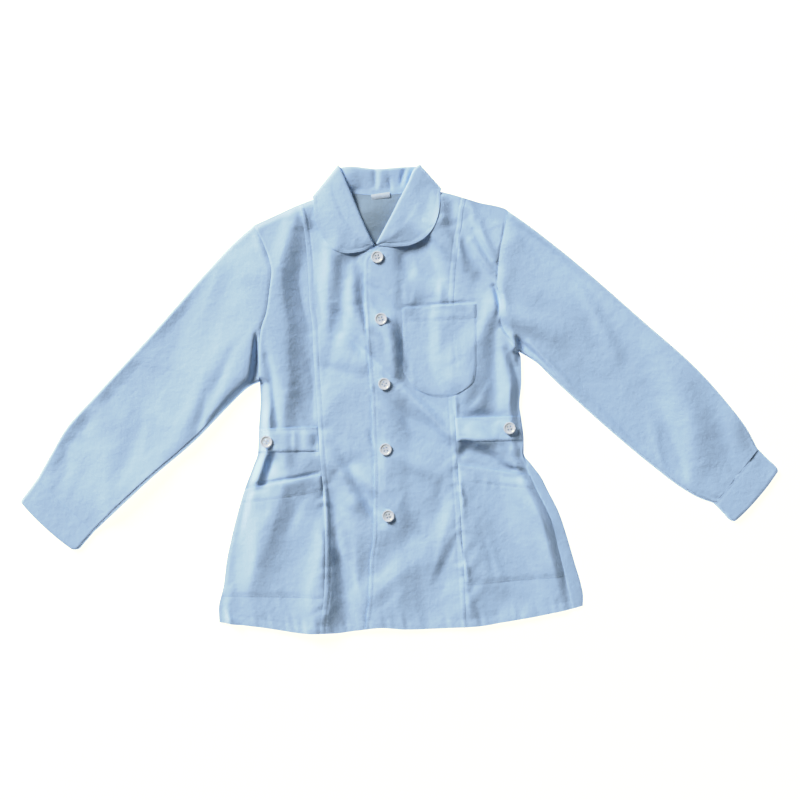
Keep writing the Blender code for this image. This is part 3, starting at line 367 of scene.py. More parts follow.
SLEEVE_RIGHT_FOLDS = (
    (-216, 259, -195, 197, -3, 6.5, 6.5, 1.8),
    (-214, 181, -269, 213, 0, 14.4, 14.4, 2.0),
    (-236, 183, -204, 181, 0, 9.1, 9.1, 1.8),
    (-270, 209, -294, 129, 4, 10.2, 11.3, 0.8),
    (-188, 100, -248, 204, 0, 24.8, 24.8, 2.7),
    (-236, 145, -198, 153, 0, 18.5, 18.5, 1.4),
    (-229, 192, -251, 100, 4, 29, 29, 2.8),
    (-333, 150, -383, 86, 3, 11.5, 15.2, -2.3),
    (-240, 82, -223, 144, 0, 18, 18, 1.4),
    (-345, 49, -314, 165, 0, 34.2, 34.2, -4.0),
    (-244, 51, -184, 155, 0, 23.8, 23.8, 5.3),
    (-248, 66, -216, 121, 0, 6.5, 6.5, -1.0),
    (-261, 121, -269, 65, 0, 21.9, 18.2, 1.6),
    (-213, 100, -212, 38, 0, 3.6, 8, -3.1),
    (-312, 16, -227, 101, 0, 34.2, 34.2, 3.6),
    (-237, 26, -220, 88, 0, 15.2, 15.2, 2.4),
    (-201, 20, -184, 82, 0, 14.6, 14.6, 1.0),
    (-345, 17, -449, 77, 0, 18, 18, -2.7),
    (-245, 80, -291, 0, 3, 6.3, 7.7, -0.5),
    (-472, -3, -387, 82, 0, 15.2, 15.2, -2.9),
    (-247, 87, -291, -11, 3, 5.4, 5.4, -0.4),
    (-225, 65, -269, -1, 0, 19.8, 13.6, 4.2),
    (-355, -10, -459, 50, 0, 18, 18, -3.1),
    (-410, -23, -455, 22, 0, 18, 18, -3.8),
    (-290, 29, -330, -57, 4, 21, 23.6, 4.5),
    (-260, 3, -292, -41, 0, 19.6, 11, 4.5),
    (-290, 9, -311, -63, 4, 6.5, 7.6, -1.1),
    (-370, 5, -380, -65, 4, 17.4, 19.7, -1.5),
    (-471, -14, -477, -54, 0, 29, 23.6, -4.2),
    (-484, -22, -514, -70, -6, 12.1, 10.6, -3.1),
    (-388, -18, -406, -98, 4, 15.2, 13.7, -2.3),
    (-530, -59, -410, -59, 0, 18, 18, -1.3),
    (-368, -91, -264, -31, 0, 18, 18, 1.5),
    (-275, -105, -360, -20, 0, 18, 18, 3.1),
    (-388, -57, -407, -123, 3, 19.7, 15.5, 1.3),
    (-500, -70, -510, -132, 2, 18.5, 18.5, -3.7),
    (-534, -70, -545, -134, 3, 13.1, 10.9, -3.5),
    (-518, -140, -532, -116, 0, 4.8, 4.8, 2.4),
    (-435, -174, -350, -89, 0, 28.6, 28.6, 6.2),
    (-452, -107, -466, -163, 0, 21, 21, 1.8),
    (-476, -114, -494, -164, 0, 7.3, 7.3, -0.7),
    (-439, -184, -354, -99, 0, 12.2, 12.2, 3.3),
    (-432, -203, -432, -83, 0, 24.8, 24.8, 4.2),
    (-530, -167, -575, -122, 0, 18, 18, -4.7),
    (-558, -158, -544, -134, 0, 6.5, 6.5, 1.4),
    (-558, -161, -565, -134, 0, 17.5, 17.5, -7.6),
    (-481, -238, -481, -174, 0, 34.2, 34.2, 6.0),
    (-437, -262, -522, -177, 0, 11, 11, 3.0),
)
SLEEVE_LEFT_FOLDS = (
    (171, 275, 179, 245, 0, 2.6, 2.6, 0.6),
    (160, 270, 160, 236, 0, 6.5, 6.5, -0.6),
    (232, 210, 147, 295, 0, 18, 18, -3.4),
    (183, 250, 190, 222, 0, 2.7, 2.7, -0.4),
    (147, 227, 171, 241, 0, 10.9, 10.9, 1.1),
    (240, 209, 195, 254, 0, 24.8, 24.8, -2.6),
    (273, 177, 188, 262, 0, 11, 11, -1.9),
    (283, 162, 198, 247, 0, 18, 18, -0.9),
    (147, 207, 149, 183, 0, 5.6, 5.6, -0.6),
    (307, 150, 222, 235, 0, 11, 11, -2.7),
    (155, 208, 151, 158, 0, 13.2, 11.8, 2.3),
    (283, 135, 167, 166, 0, 24.8, 24.8, 2.0),
    (328, 63, 268, 167, 0, 8.8, 8.8, 2.4),
    (149, 120, 159, 104, 0, 6.5, 6.5, -2.3),
    (284, 119, 306, 71, -6, 10.5, 10.5, -1.2),
    (169, 94, 178, 68, 0, 4.5, 7.2, 3.6),
    (424, 28, 339, 113, 0, 17.3, 17.3, 2.9),
    (181, 69, 197, 65, 0, 5.4, 4.3, -4.8),
    (225, 42, 180, 87, 0, 4.8, 4.8, -4.3),
    (328, 75, 350, 47, 0, 19.7, 19.7, -1.5),
    (150, 104, 246, 16, -6, 2.5, 6.9, 2.0),
    (193, 86, 273, 2, 0, 4.3, 5.4, 3.3),
    (384, -9, 299, 76, 0, 18, 18, -2.4),
    (448, -35, 388, 69, 0, 23.8, 23.8, 4.9),
    (414, 44, 412, -16, 0, 21, 26.2, 1.1),
    (364, 37, 378, -17, 0, 22.1, 17.5, -2.7),
    (348, -39, 263, 46, 0, 18, 18, -1.4),
    (258, 57, 358, -63, 4, 28.4, 11.5, -5.3),
    (510, -55, 425, 30, 0, 18, 18, 1.5),
    (380, -87, 320, 17, 0, 24.8, 24.8, -3.2),
    (503, -5, 505, -69, 0, 12.1, 12.1, 0.9),
    (419, -13, 447, -89, 3, 20.1, 22, 4.6),
    (361, -22, 373, -80, 0, 13.1, 13.1, -1.5),
    (352, -31, 360, -75, 0, 13.1, 13.1, -1.0),
    (414, -3, 422, -103, 0, 19.7, 17.5, -1.5),
    (429, -100, 344, -15, 0, 18, 18, -0.5),
    (419, -118, 388, -2, 0, 14.5, 14.5, -4.1),
    (513, -54, 531, -80, 0, 10.5, 10.5, 0.6),
    (551, -125, 491, -21, 0, 18, 18, 3.3),
    (527, -129, 467, -25, 0, 12.6, 12.6, -1.5),
    (381, -77, 385, -91, 0, 5.4, 5.4, -0.8),
    (382, -62, 396, -106, 0, 7.7, 5.1, 1.0),
    (506, -77, 524, -97, 0, 3.9, 3.9, -1.4),
    (448, -123, 344, -63, 0, 24.8, 24.8, -2.4),
    (487, -75, 505, -113, 0, 5.2, 5.2, -0.9),
    (562, -132, 530, -77, 0, 9, 9, 5.1),
    (476, -91, 492, -121, 0, 5.5, 5.5, -0.5),
    (433, -104, 435, -134, 0, 7.4, 7.4, 0.8),
    (453, -106, 467, -142, 0, 10.5, 10.5, -0.8),
    (238, -168, 206, -113, 0, 3.3, 3.3, -3.0),
    (509, -169, 554, -124, 0, 18, 18, 2.6),
    (266, -217, 206, -113, 0, 7.4, 7.4, -5.9),
    (255, -267, 224, -151, 0, 3.5, 3.5, -0.9),
    (289, -324, 229, -220, 0, 18, 18, 5.0),
)
# Broad waves that run down the fronts, under the finer creases.
BROAD_FOLDS = (
    (-15, 128, -9, 32, 0, 11, 12, 2.4),
    (8, 122, 11, 34, 0, 8, 9, -2.8),
    (-140, 262, -136, -24, 0, 22, 20, -3.6),
    (-92, 250, -88, 120, 0, 20, 20, -2.0),
    (118, 250, 112, 20, 0, 22, 20, -2.2),
)
# Troughs at the pockets' mouths and under a tab, where the panel sinks behind an edge.
MOUTH_FOLDS = (
    (-190, -80, -204, -130, 0, 9, 11, -6.0),
    (102, -70, 152, -86, 0, 10, 12, -3.0),
    (-228, -130.5, -122, -110, 0, 2.2, 2.2, -3.0),
    (94, -94, 206, -108.5, 0, 2.2, 2.6, -3.4),
    (6, 139.5, 112, 146.5, 0, 1.8, 1.8, -1.8),
)
# Deep narrow creases where sleeve and body meet under the arms.
ARMPIT_FOLDS = (
    (-214, 96, -217, 28, 0, 3, 5, -7.0),
    (-220, 30, -284, -34, 0, 4, 4, -4.0),
    (176, 92, 187, 70, 0, 4, 5, -8.0),
)
ALL_FOLDS = (SIDE_RIGHT_FOLDS + CENTRE_RIGHT_FOLDS + CENTRE_LEFT_FOLDS + SIDE_LEFT_FOLDS
             + POCKET_FOLDS + TAB_FOLDS + SLEEVE_RIGHT_FOLDS + SLEEVE_LEFT_FOLDS
             + BROAD_FOLDS + MOUTH_FOLDS + ARMPIT_FOLDS)

# ---- Tubes down the arm: x and y of the top edge, then of the under edge, of each section.
SLEEVE_RIGHT = ((-220, 260.5, -216, 29), (-246, 238, -230, 17), (-291, 190.5, -255, -7.5),
                (-370.5, 100.5, -307.5, -61.5), (-453, 10.5, -370.5, -115.5),
                (-501, -43.5, -409.5, -151.5), (-522, -79.5, -435, -175.5),
                (-543, -117, -457.5, -196.5))
SLEEVE_LEFT = ((171, 279.5, 193.5, 67.5), (261, 208.5, 232.5, 28.5),
               (364.5, 118.5, 312, -43.5), (445.5, 46.5, 376.5, -97.5),
               (493.5, -7.5, 424.5, -133.5), (520.5, -43.5, 450, -147.5),
               (535.5, -72, 469.5, -154.5))
CUFF_RIGHT = ((-543.5, -117.5, -458, -197), (-556.5, -135.5, -471.5, -212.5),
              (-566.5, -148.5, -483.5, -224), (-568.5, -152, -489.5, -224.5))
CUFF_LEFT = ((536, -72.5, 470, -155), (552, -88.5, 484, -169.5),
             (564.5, -100.5, 496.5, -181), (567, -105, 501, -182))
CUFF_BOW = 3.6  # how far the middle of a cuff's free edge bows out
# A dent in the left cuff, and a faint one in the right.
CUFF_FOLDS = (
    (533, -72, 566, -110, 0, 13, 15, -3.6),
    (-512, -150, -470, -212, 0, 26, 26, -1.0),
)

# ---- Collar, seen from above.
ROLL_RIGHT = ((-39.5, 233.5), (-46.5, 247.5), (-60.5, 279), (-74, 311), (-88, 343))
LEAF_RIGHT = ((-42, 229), (-57, 222), (-78, 219), (-96.5, 223.5), (-115.5, 244.5),
              (-128.5, 279), (-129, 297))
ROLL_LEFT = ((-35, 234), (-29.5, 244.5), (-10, 281), (-0.7, 300), (9, 318), (21, 344))
LEAF_LEFT = ((-33, 230.5), (-3.5, 228.5), (22, 234), (39.5, 244.5), (51.5, 259.5), (59, 289),
             (60, 309))
ROLL_BACK = ((-89, 348.5), (-75, 349.5), (-33, 346), (0, 348.5), (26, 350))
LEAF_BACK = ((-125, 297), (-110, 288), (-75, 280), (-33, 277), (10, 280), (42, 290), (56, 308))
WRAP_RIGHT = ((-91, 315), (-92.5, 351), (-131, 304))
WRAP_LEFT = ((20, 317), (29.5, 352), (62, 316))
WRAP_ANGLES = (28, 62, 90, 118, 152)  # degrees round a side fold
LEAF_STEPS = (0.16, 0.38, 0.62, 0.84, 1.0)  # shares of the leaf, roll to edge

# Creases inside the standing part of the collar, then those of its leaves.
COLLAR_FOLDS = (
    (-86, 352, -84, 312, 0, 20, 18, 6.5),
    (-37, 352, -36, 314, 0, 4.5, 4, -2.2),
    (-27, 352, -30, 316, 0, 7, 6, 1.6),
    (-16, 332, -12, 308, 0, 3, 3, -1.8),
    (9, 348, 2, 324, 0, 4.5, 3, -3.0),
    (20, 345, 11, 320, 0, 3, 3, -1.5),
)
LEAF_FOLDS = (
    (-106, 296, -84, 232, -3, 20, 16, 1.98),
    (-70, 226, -66, 246, 0, 3, 3, 0.39),
    (30, 300, 10, 262, 0, 12, 9, 0.77),
)

# Both edges of the chest pocket, from its round bottom to its mouth.
CHEST_POCKET = ("y_left", "x_left", "y_right", "x_right")
CHEST_POCKET_ROWS = (
    (8.0, 42.0, 7.5, 82.0), (16.0, 24.5, 15.0, 97.0), (31.0, 12.0, 28.0, 110.5),
    (47.0, 4.5, 48.0, 114.5), (72.0, 4.4, 73.0, 114.4), (95.0, 4.0, 98.0, 114.2),
    (117.5, 3.6, 122.5, 113.8), (136.5, 3.0, 143.5, 113.5),
)
POCKET_SAG = 4.0  # how far the middle of its bottom hangs below the ends of its first row
SAG_ROWS = 9
# Middles of the buttons.
BUTTONS = (("front_button_1", -34.0, 213.5), ("front_button_2", -28.5, 121.0),
           ("front_button_3", -23.5, 24.0), ("front_button_4", -21.5, -73.5),
           ("front_button_5", -17.5, -173.0), ("tab_button_right", -199.0, -62.0),
           ("tab_button_left", 163.5, -42.0))
# Middle and size of the label, turned by degrees.
LABEL = {"x": -29.0, "y": 305.5, "length": 28.0, "width": 8.0, "turn": 8.0}

# Single sizes, and cells of the larger grids.
HEM_DEPTH = 11.0
POCKET_HEM = 22.0
CHEST_HEM = 20.0
NECK_LOW = 8.0  # x to which the back falls from the right leaf, inside the neck
COLLAR_STITCH = 6.5  # from the edge of the leaf
COLLAR_TOP = 14.5
COLLAR_GRID = 2.2  # spacing of the collar's points
HOLE_SPREAD = 0.24  # share of a button's radius from its middle to a hole, each way
LAP_TOP = 226.0  # y where the front edge goes under the collar
THREAD_PAIR = 0.9  # drawn spacing of the weave
BORDER = 0.12  # from a cut edge to the next row of points
TUBE_CELLS = 56  # across the upper layer of a sleeve or cuff
TUBE_MIDDLE = 1.35  # height of a tube's two side edges
SLEEVE_CELLS = 170
CUFF_CELLS = 26
ARMHOLE_ROWS = 14.0  # rows over which a sleeve turns into its armhole
BEND_ROWS = 44.0  # and over which the armhole's curve dies away
CUFFED_WIDTH = 110.0  # of a sleeve where it is gathered into its cuff

LENS, SENSOR = 70.0, 36.0  # of the camera
PICTURE_WIDTH = 1.2  # in metres, on the floor

# Light from the upper left: azimuth and elevation in degrees, distance and size in metres,
# power, colour.
LIGHT = ("name", "azimuth", "elevation", "distance", "size", "power", "colour")
LIGHTS = (("key_light", 136, 31, 12.0, 4.4, 2440.0, (1.0, 0.99, 0.975)),
          ("fill_light", -10, 55, 3.2, 1.6, 6.0, (0.74, 0.88, 1.0)))
# How the camera's film answers, as points of curves. The first holds the cloth's lit side
# back and still shows the lit board as white. The red and blue ones, which follow it, make
# light cloth a little cooler and shade a little warmer.
FILM_CURVE = ((0.0, 0.0), (0.36, 0.36), (0.58, 0.55), (0.80, 0.69), (1.0, 0.765), (1.3, 0.88),
              (1.7, 1.0))
RED_CURVE = ((0.22, 0.222), (0.40, 0.398), (0.56, 0.548), (0.78, 0.77))
BLUE_CURVE = ((0.20, 0.19), (0.43, 0.42), (0.70, 0.728), (0.80, 0.852), (0.90, 0.945))

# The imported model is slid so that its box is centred; the first button says how far.
LOW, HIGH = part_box("front_button_1")
SHIFT = np.array(((LOW[0] + HIGH[0]) / 2 / MM - BUTTONS[0][1],
                  (LOW[1] + HIGH[1]) / 2 / MM - BUTTONS[0][2], 0.0))


class JacketForm(bpy.types.PropertyGroup):
    """Sizes a maker would change."""
    wall: FloatProperty(name="Cloth", description="Thickness of the cloth", default=0.0008,
                        min=0.0003, max=0.002, unit="LENGTH")
    layer: FloatProperty(name="Layer", description="Room for one layer of cloth", default=0.0015,
                         unit="LENGTH")
    puff: FloatProperty(name="Puff", description="How far the front stands off the back",
                        default=0.0064, unit="LENGTH")
    fold_depth: FloatProperty(name="Fold depth", description="Share of the folds' depth",
                              default=1.2, min=0.0, max=2.0, subtype="FACTOR")
    edge_fade: FloatProperty(name="Edge fade", description="Folds fade this near the outline",
                             default=0.018, unit="LENGTH")
    sleeve_height: FloatProperty(name="Sleeve", description="Height of a sleeve",
                                 default=0.0091, unit="LENGTH")
    cuff_height: FloatProperty(name="Cuff", description="Height of a cuff", default=0.007,
                               unit="LENGTH")
    roll_height: FloatProperty(name="Roll", description="Height of the collar's roll",
                               default=0.0095, unit="LENGTH")
    topstitch: FloatProperty(name="Topstitch", description="From a seam to its stitching",
                             default=0.0075, unit="LENGTH")
    stitch_pitch: FloatProperty(name="Stitch", description="Length of one stitch",
                                default=0.0028, unit="LENGTH")
    button_radius: FloatProperty(name="Button", description="Radius of a button",
                                 default=0.009, unit="LENGTH")
    button_thick: FloatProperty(name="Button thickness", description="Thickness of a button",
                                default=0.0026, unit="LENGTH")


class JacketColours(bpy.types.PropertyGroup):
    """Colours, as sRGB hex values."""
    cloth: StringProperty(name="Cloth", description="Light blue poly-cotton", default="#B8D4F5")
    cloth_shade: StringProperty(name="Cloth, second tone", description="Warp threads",
                                default="#A9C9EF")
    # The inside colours are the cloth drawn darker: painted shade on the back's wrong side inside the
    # neck.
    inside: StringProperty(name="Inside", description="Wrong side of the cloth, in the neck",
                           default="#93AABF")
    painted_shade_second_tone: StringProperty(name="Inside, second tone", description="Warp threads",
                                 default="#889FB5")
    thread: StringProperty(name="Thread", description="Sewing thread", default="#C2DAF2")
    button: StringProperty(name="Button", description="Resin", default="#EEF2F6")
    label: StringProperty(name="Label", description="Bare woven tape", default="#D9DEE2")
    floor: StringProperty(name="Floor", description="Table top", default="#FAFAFA")


# ---- Numbers.

def in_mm(context):
    """The sizes as plain numbers, lengths in mm like the tables, in single precision."""
    group = context.scene.jacket_form
    sizes = SimpleNamespace(fold_depth=group.fold_depth)
    for name in JacketForm.__annotations__:
        if name != "fold_depth":
            setattr(sizes, name, float(np.float32(round(getattr(group, name) / MM, 4))))
    return sizes


def named(columns, row):
    """A table's row under its column names."""
    return dict(zip(columns, row))


def smooth(value):
    """Soft step from 0 to 1."""
    held = np.clip(value, 0.0, 1.0)
    return held * held * (3.0 - 2.0 * held)


def through(keys, values, wanted):
    """Smooth curve through rows of values that never swings past them."""
    keys, values = np.asarray(keys, float), np.asarray(values, float)
    wanted = np.clip(wanted, keys[0], keys[-1])
    step = np.diff(keys).reshape((-1,) + (1,) * (values.ndim - 1))
    slope = np.diff(values, axis=0) / step
    tangent = np.zeros_like(values)
    tangent[0], tangent[-1] = slope[0], slope[-1]
    near, far = 2 * step[1:] + step[:-1], step[1:] + 2 * step[:-1]
    same = slope[:-1] * slope[1:] > 0
    safe = np.where(same, slope[:-1], 1.0), np.where(same, slope[1:], 1.0)
    tangent[1:-1] = np.where(same, (near + far) / (near / safe[0] + far / safe[1]), 0.0)
    spot = np.clip(np.searchsorted(keys, wanted, side="right") - 1, 0, len(keys) - 2)
    shape = np.shape(wanted) + (1,) * (values.ndim - 1)
    width = (keys[spot + 1] - keys[spot]).reshape(shape)
    share = ((wanted - keys[spot]) / (keys[spot + 1] - keys[spot])).reshape(shape)
    square, cube = share ** 2, share ** 3
    return ((2 * cube - 3 * square + 1) * values[spot] + (3 * square - 2 * cube) * values[spot + 1]
            + (cube - 2 * square + share) * width * tangent[spot]
            + (cube - square) * width * tangent[spot + 1])


def look_up(table, key):
    """Value of a two-column table at a key, on a smooth curve."""
    keys, values = zip(*table)
    return through(keys, values, np.asarray(key, float))


def path_points(path, shares):
    """Points of a smooth path at shares of its length."""
    path = np.asarray(path, float)
    lengths = np.concatenate(([0.0], np.cumsum(np.linalg.norm(np.diff(path, axis=0), axis=1))))
    return through(lengths / lengths[-1], path, np.asarray(shares, float))


def ripple(place, spacing, seed):
    """Uneven waves along a line: smooth random heights, about one a spacing."""
    heights = np.random.default_rng(seed).uniform(-1.0, 1.0, 600)
    spot = np.asarray(place, float) / spacing + 300.0
    low = np.clip(np.floor(spot).astype(int), 0, 598)
    share = smooth(spot - low)
    return heights[low] * (1.0 - share) + heights[low + 1] * share


def rumple(x, y, spacing, seed):
    """Uneven hills over a surface, about one a spacing."""
    heights = np.random.default_rng(seed).uniform(-1.0, 1.0, (140, 140))
    column, row = x / spacing + 70.0, y / spacing + 70.0
    left = np.clip(np.floor(column).astype(int), 0, 138)
    low = np.clip(np.floor(row).astype(int), 0, 138)
    across, up = smooth(column - left), smooth(row - low)
    return ((heights[low, left] * (1 - across) + heights[low, left + 1] * across) * (1 - up)
            + (heights[low + 1, left] * (1 - across) + heights[low + 1, left + 1] * across) * up)


# ---- Heights of the cloth.

def fold_relief(table, x, y):
    """Sum of the ridges and troughs of a table."""
    total = np.zeros(np.shape(x))
    for row in table:
        fold = named(FOLD, row)
        reach = 3.0 * max(fold["width"], fold["end_width"]) + abs(fold["bow"])
        near = ((x > min(fold["x0"], fold["x1"]) - reach) & (x < max(fold["x0"], fold["x1"]) + reach)
                & (y > min(fold["y0"], fold["y1"]) - reach) & (y < max(fold["y0"], fold["y1"]) + reach))
        if near.any():
            total[near] += one_fold(fold, x[near], y[near])
    return total


def one_fold(fold, x, y):
    """Height of one fold round its bowed run, fading out past both ends."""
    start, end = np.array((fold["x0"], fold["y0"])), np.array((fold["x1"], fold["y1"]))
    run = end - start
    length = np.linalg.norm(run)
    across = np.array((-run[1], run[0])) / length
    steps = np.linspace(0.0, 1.0, 9)[:, None]
    points = start + run * steps + across * 4.0 * fold["bow"] * steps * (1.0 - steps)
    gap, place, side = np.full(x.shape, 1e9), np.zeros(x.shape), np.zeros(x.shape)
    for number, (a, b) in enumerate(zip(points, points[1:])):
        piece = b - a
        size = np.linalg.norm(piece)
        share = ((x - a[0]) * piece[0] + (y - a[1]) * piece[1]) / size ** 2
        held = np.clip(share, 0.0, 1.0)
        here = np.hypot(x - a[0] - piece[0] * held, y - a[1] - piece[1] * held)
        aside = ((x - a[0]) * piece[1] - (y - a[1]) * piece[0]) / size
        closer = here < gap
        gap = np.where(closer, here, gap)
        side = np.where(closer, aside / np.maximum(here, 1e-6), side)
        place = np.where(closer, (number + held) / (len(points) - 1), place)
    lean = FOLD_LEAN * (run[1] * SMOOTHED[0] - run[0] * SMOOTHED[1]) / length
    lean = -lean if fold["height"] > 0 else lean
    width = fold["width"] + (fold["end_width"] - fold["width"]) * place
    width = width * (1.0 - lean * np.clip(side, -1.0, 1.0))
    swell = 0.45 + 0.55 * np.sin(np.pi * np.clip(place, 0.0, 1.0))
    return fold["height"] * swell * np.exp(-(gap / width) ** 2)


def neck_lift(form, x, y, spread_out=0.0):
    """The back rides over the part of the collar that is under it."""
    reach = np.hypot((x + 33.0) / 110.0, (y - 330.0) / 58.0)
    return (form.layer + 0.15) * smooth((1.42 + spread_out - reach) / 0.26)


def lap_edge(y):
    """x of the right front's edge, under the left front."""
    return look_up(LAP_UNDER, np.minimum(y, 222.0))


def lap_lift(form, x, y):
    """The left front rides over the edge of the right front."""
    return (form.layer + 0.4) * (1.0 - smooth((x - lap_edge(y) - 4.0) / 22.0))


def shoulder_y(x):
    """y of the shoulder, and far past the neck where the collar is."""
    return np.where((x > -88.0) & (x < 17.0), 345.0, look_up(SHOULDER_LINE, x))


def edge_share(form, x, y):
    """0 at the outline of the body, 1 away from it. An armhole isn't an edge."""
    right = x - look_up(SIDE_RIGHT, y) + 40.0 * smooth((y - 24.0) / 26.0)
    left = look_up(SIDE_SEAM_LEFT, y) - x + 40.0 * smooth((y - 68.0) / 26.0)
    inside = np.minimum(np.minimum(right, left), 8.0 + shoulder_y(x) - y)
    hem = 0.6 + 0.4 * smooth((y - look_up(HEM_LINE, x)) / 60.0)
    return smooth(inside / form.edge_fade) * hem


def seam_relief(form, x, y):
    """Princess seams: the seam sinks, the allowance beside it is thick, the stitches pucker.
    The pucker grows towards the hem and comes and goes along the seam."""
    relief = np.zeros(np.shape(x))
    for number, (seam, side) in enumerate(((PRINCESS_RIGHT, 1.0), (PRINCESS_LEFT, -1.0))):
        aside = (x - look_up(seam, y)) * side
        relief -= 0.15 * np.exp(-(aside / 1.3) ** 2)
        relief += 0.32 * smooth((aside + 0.4) / 1.8) * smooth((form.topstitch + 1.2 - aside) / 2.4)
        relief -= 0.5 * np.exp(-((aside - form.topstitch) / 1.3) ** 2)
        lower = 0.25 + 0.95 * smooth((20.0 - y) / 90.0)
        strength = lower * (0.4 + 0.6 * smooth(ripple(y, 60.0, 30 + number) + 0.5))
        pucker = ripple(y + 0.35 * np.abs(aside), 8.0, 20 + number)
        relief += pucker * strength * np.exp(-(aside / 12.0) ** 2)
        drawn = ripple(y - 0.9 * np.abs(aside), 17.0, 35 + number)
        relief += 0.9 * drawn * strength * np.exp(-((np.abs(aside) - 12.0) / 14.0) ** 2)
    under_pocket = smooth((y - 2.0) / 6.0) * smooth((146.0 - y) / 6.0) * (x > 0.0)
    return relief * (1.0 - 0.8 * under_pocket)


def edge_relief(x, y):
    """Hem and front edge: turned cloth, its stitching and the small puckers it draws."""
    up = y - look_up(HEM_LINE, x)
    relief = 0.35 * smooth((HEM_DEPTH - up) / 2.0) - 0.3 * np.exp(-((up - HEM_DEPTH) / 1.3) ** 2)
    relief += 1.3 * ripple(x + 0.25 * up, 6.5, 41) * np.exp(-((up - 9.0) / 12.0) ** 2)
    over = x - look_up(LAP_OVER, y)
    on_lap = (over > -0.5) & (y < LAP_TOP)
    band = 0.8 * ripple(y + 0.5 * over, 9.0, 43) * np.exp(-(over / 13.0) ** 2)
    band -= 0.3 * np.exp(-((over - 5.0) / 1.4) ** 2)
    beside = -0.6 * np.exp(-((over + 1.5) / 2.0) ** 2) * (y < LAP_TOP)
    return relief + np.where(on_lap, band, beside)


def armhole_relief(x, y):
    """The seam of a set-in sleeve sinks between two pressed edges."""
    relief = np.zeros(np.shape(x))
    for outline, low in ((SIDE_RIGHT, 30.0), (SIDE_SEAM_LEFT, 74.0)):
        aside = x - look_up(outline, y)
        relief -= 1.1 * np.exp(-(aside / 2.2) ** 2) * smooth((y - low) / 12.0)
    return relief


def held_height(rise):
    """Keep a height off the layer below, and under the highest that cloth stands here."""
    rise = np.where(rise > 1.5, rise, 0.2 + 1.3 * np.exp((np.minimum(rise, 1.5) - 1.5) / 1.3))
    return np.where(rise < 13.0, rise, 16.8 - 3.8 * np.exp((13.0 - np.maximum(rise, 13.0)) / 3.8))


def front_under(form, x, y):
    """Underside of the front panels."""
    folds = fold_relief(ALL_FOLDS, x, y) * form.fold_depth
    fine = 0.35 * rumple(x, y, 34.0, 3) + 0.14 * rumple(x + y * 0.3, y, 13.0, 4)
    share = edge_share(form, x, y)
    rise = held_height((form.puff + folds + fine) * share)
    details = ((seam_relief(form, x, y) + edge_relief(x, y)) * (0.35 + 0.65 * share)
               + armhole_relief(x, y))
    return (1.1 * neck_lift(form, x, y, 0.18) + form.layer + rise
            + np.maximum(details, -0.5 * rise))


def front_top(form, x, y):
    """Top of the front panels."""
    return front_under(form, x, y) + form.wall


def lapped_top(form, x, y):
    """Top of the cloth where the left front laps over the right one."""
    over = smooth((x - look_up(LAP_OVER, y) + 1.5) / 1.0)
    return front_top(form, x, y) + over * lap_lift(form, x, y)


def strip_rise(x, y):
    """The back comes round the fold to the side seam, below the waist on the left."""
    outline, seam = look_up(SIDE_LEFT, y), look_up(SIDE_SEAM_LEFT, y)
    width = np.maximum(outline - seam, 1.0)
    over = np.clip((outline - x) / width, 0.0, 1.0)
    back_down = smooth((x - seam + 5.0) / 5.0)
    return 2.4 * np.sqrt(over) * back_down * smooth((width - 4.0) / 6.0)


# ---- Plan grids.

def station_rows(column):
    """y at each grid row of a long edge, hem to shoulder."""
    stations = [named(STATIONS, row) for row in STATION_ROWS]
    rows = [np.linspace(here[column], there[column], here["cells"], endpoint=False)
            for here, there in zip(stations, stations[1:])]
    return np.concatenate(rows + [[stations[-1][column]]])


def station_index(name):
    """Number of the grid row at a named station."""
    count = 0
    for row in STATION_ROWS:
        if row[0] == name:
            return count
        count += row[1]
    raise KeyError(name)


def edge_line(edge, column):
    """Plan points of a long edge, one for each grid row."""
    heights = station_rows(column)
    return np.stack((look_up(edge, heights), heights), axis=1)


def between_lines(left, right, columns, inset=0.04):
    """Grid of plan points from one long edge to the other, closer together near both."""
    start = inset / np.maximum(np.linalg.norm(right - left, axis=1), 1.0)
    steps = np.linspace(0.0, 1.0, columns + 1)
    steps = 0.6 * steps + 0.2 * (1.0 - np.cos(math.pi * steps))
    shares = start[:, None] + (1.0 - 2.0 * start[:, None]) * steps
    return left[:, None, :] + (right - left)[:, None, :] * shares[:, :, None]


def bend_rows(grid, line, first, last):
    """Bend the rows between two row numbers so that the last one lies on a line."""
    grid = grid.copy()
    change = look_up(line, grid[last, :, 0]) - grid[last, :, 1]
    for index in range(min(first, last), max(first, last) + 1):
        grid[index, :, 1] += change * abs((index - first) / (last - first)) ** 2
    return grid


def fit_ends(grid, top_line=SHOULDER_LINE, top_from="neck_base"):
    """Bend a panel's grid to the hem and to its top line."""
    grid = bend_rows(grid, HEM_LINE, station_index("pocket_bottom"), 0)
    return bend_rows(grid, top_line, station_index(top_from), len(grid) - 1)


def side_panel(side):
    """Plan grid of a side front."""
    if side == "right":
        edges = edge_line(SIDE_RIGHT, "side_right"), edge_line(PRINCESS_RIGHT, "princess_right")
    else:
        edges = edge_line(PRINCESS_LEFT, "princess_left"), edge_line(SIDE_SEAM_LEFT, "side_left")
    return fit_ends(between_lines(*edges, 64))


def rows_between(grid, first, last):
    """The part of a grid from one named station to another."""
    return grid[station_index(first):station_index(last) + 1]


def pulled_in(grid, sides, ends):
    """A patch's plan grid, its outer edges pulled in from the panel's."""
    grid = grid.copy()
    for outer, inner in ((0, 1), (-1, -2)):
        step = grid[:, inner] - grid[:, outer]
        grid[:, outer] += step * (sides / np.linalg.norm(step, axis=1))[:, None]
    for outer, inner in ((0, 1), (-1, -2)):
        step = grid[inner] - grid[outer]
        grid[outer] += step * (ends / np.linalg.norm(step, axis=1))[:, None]
    return grid


# ---- Meshes.

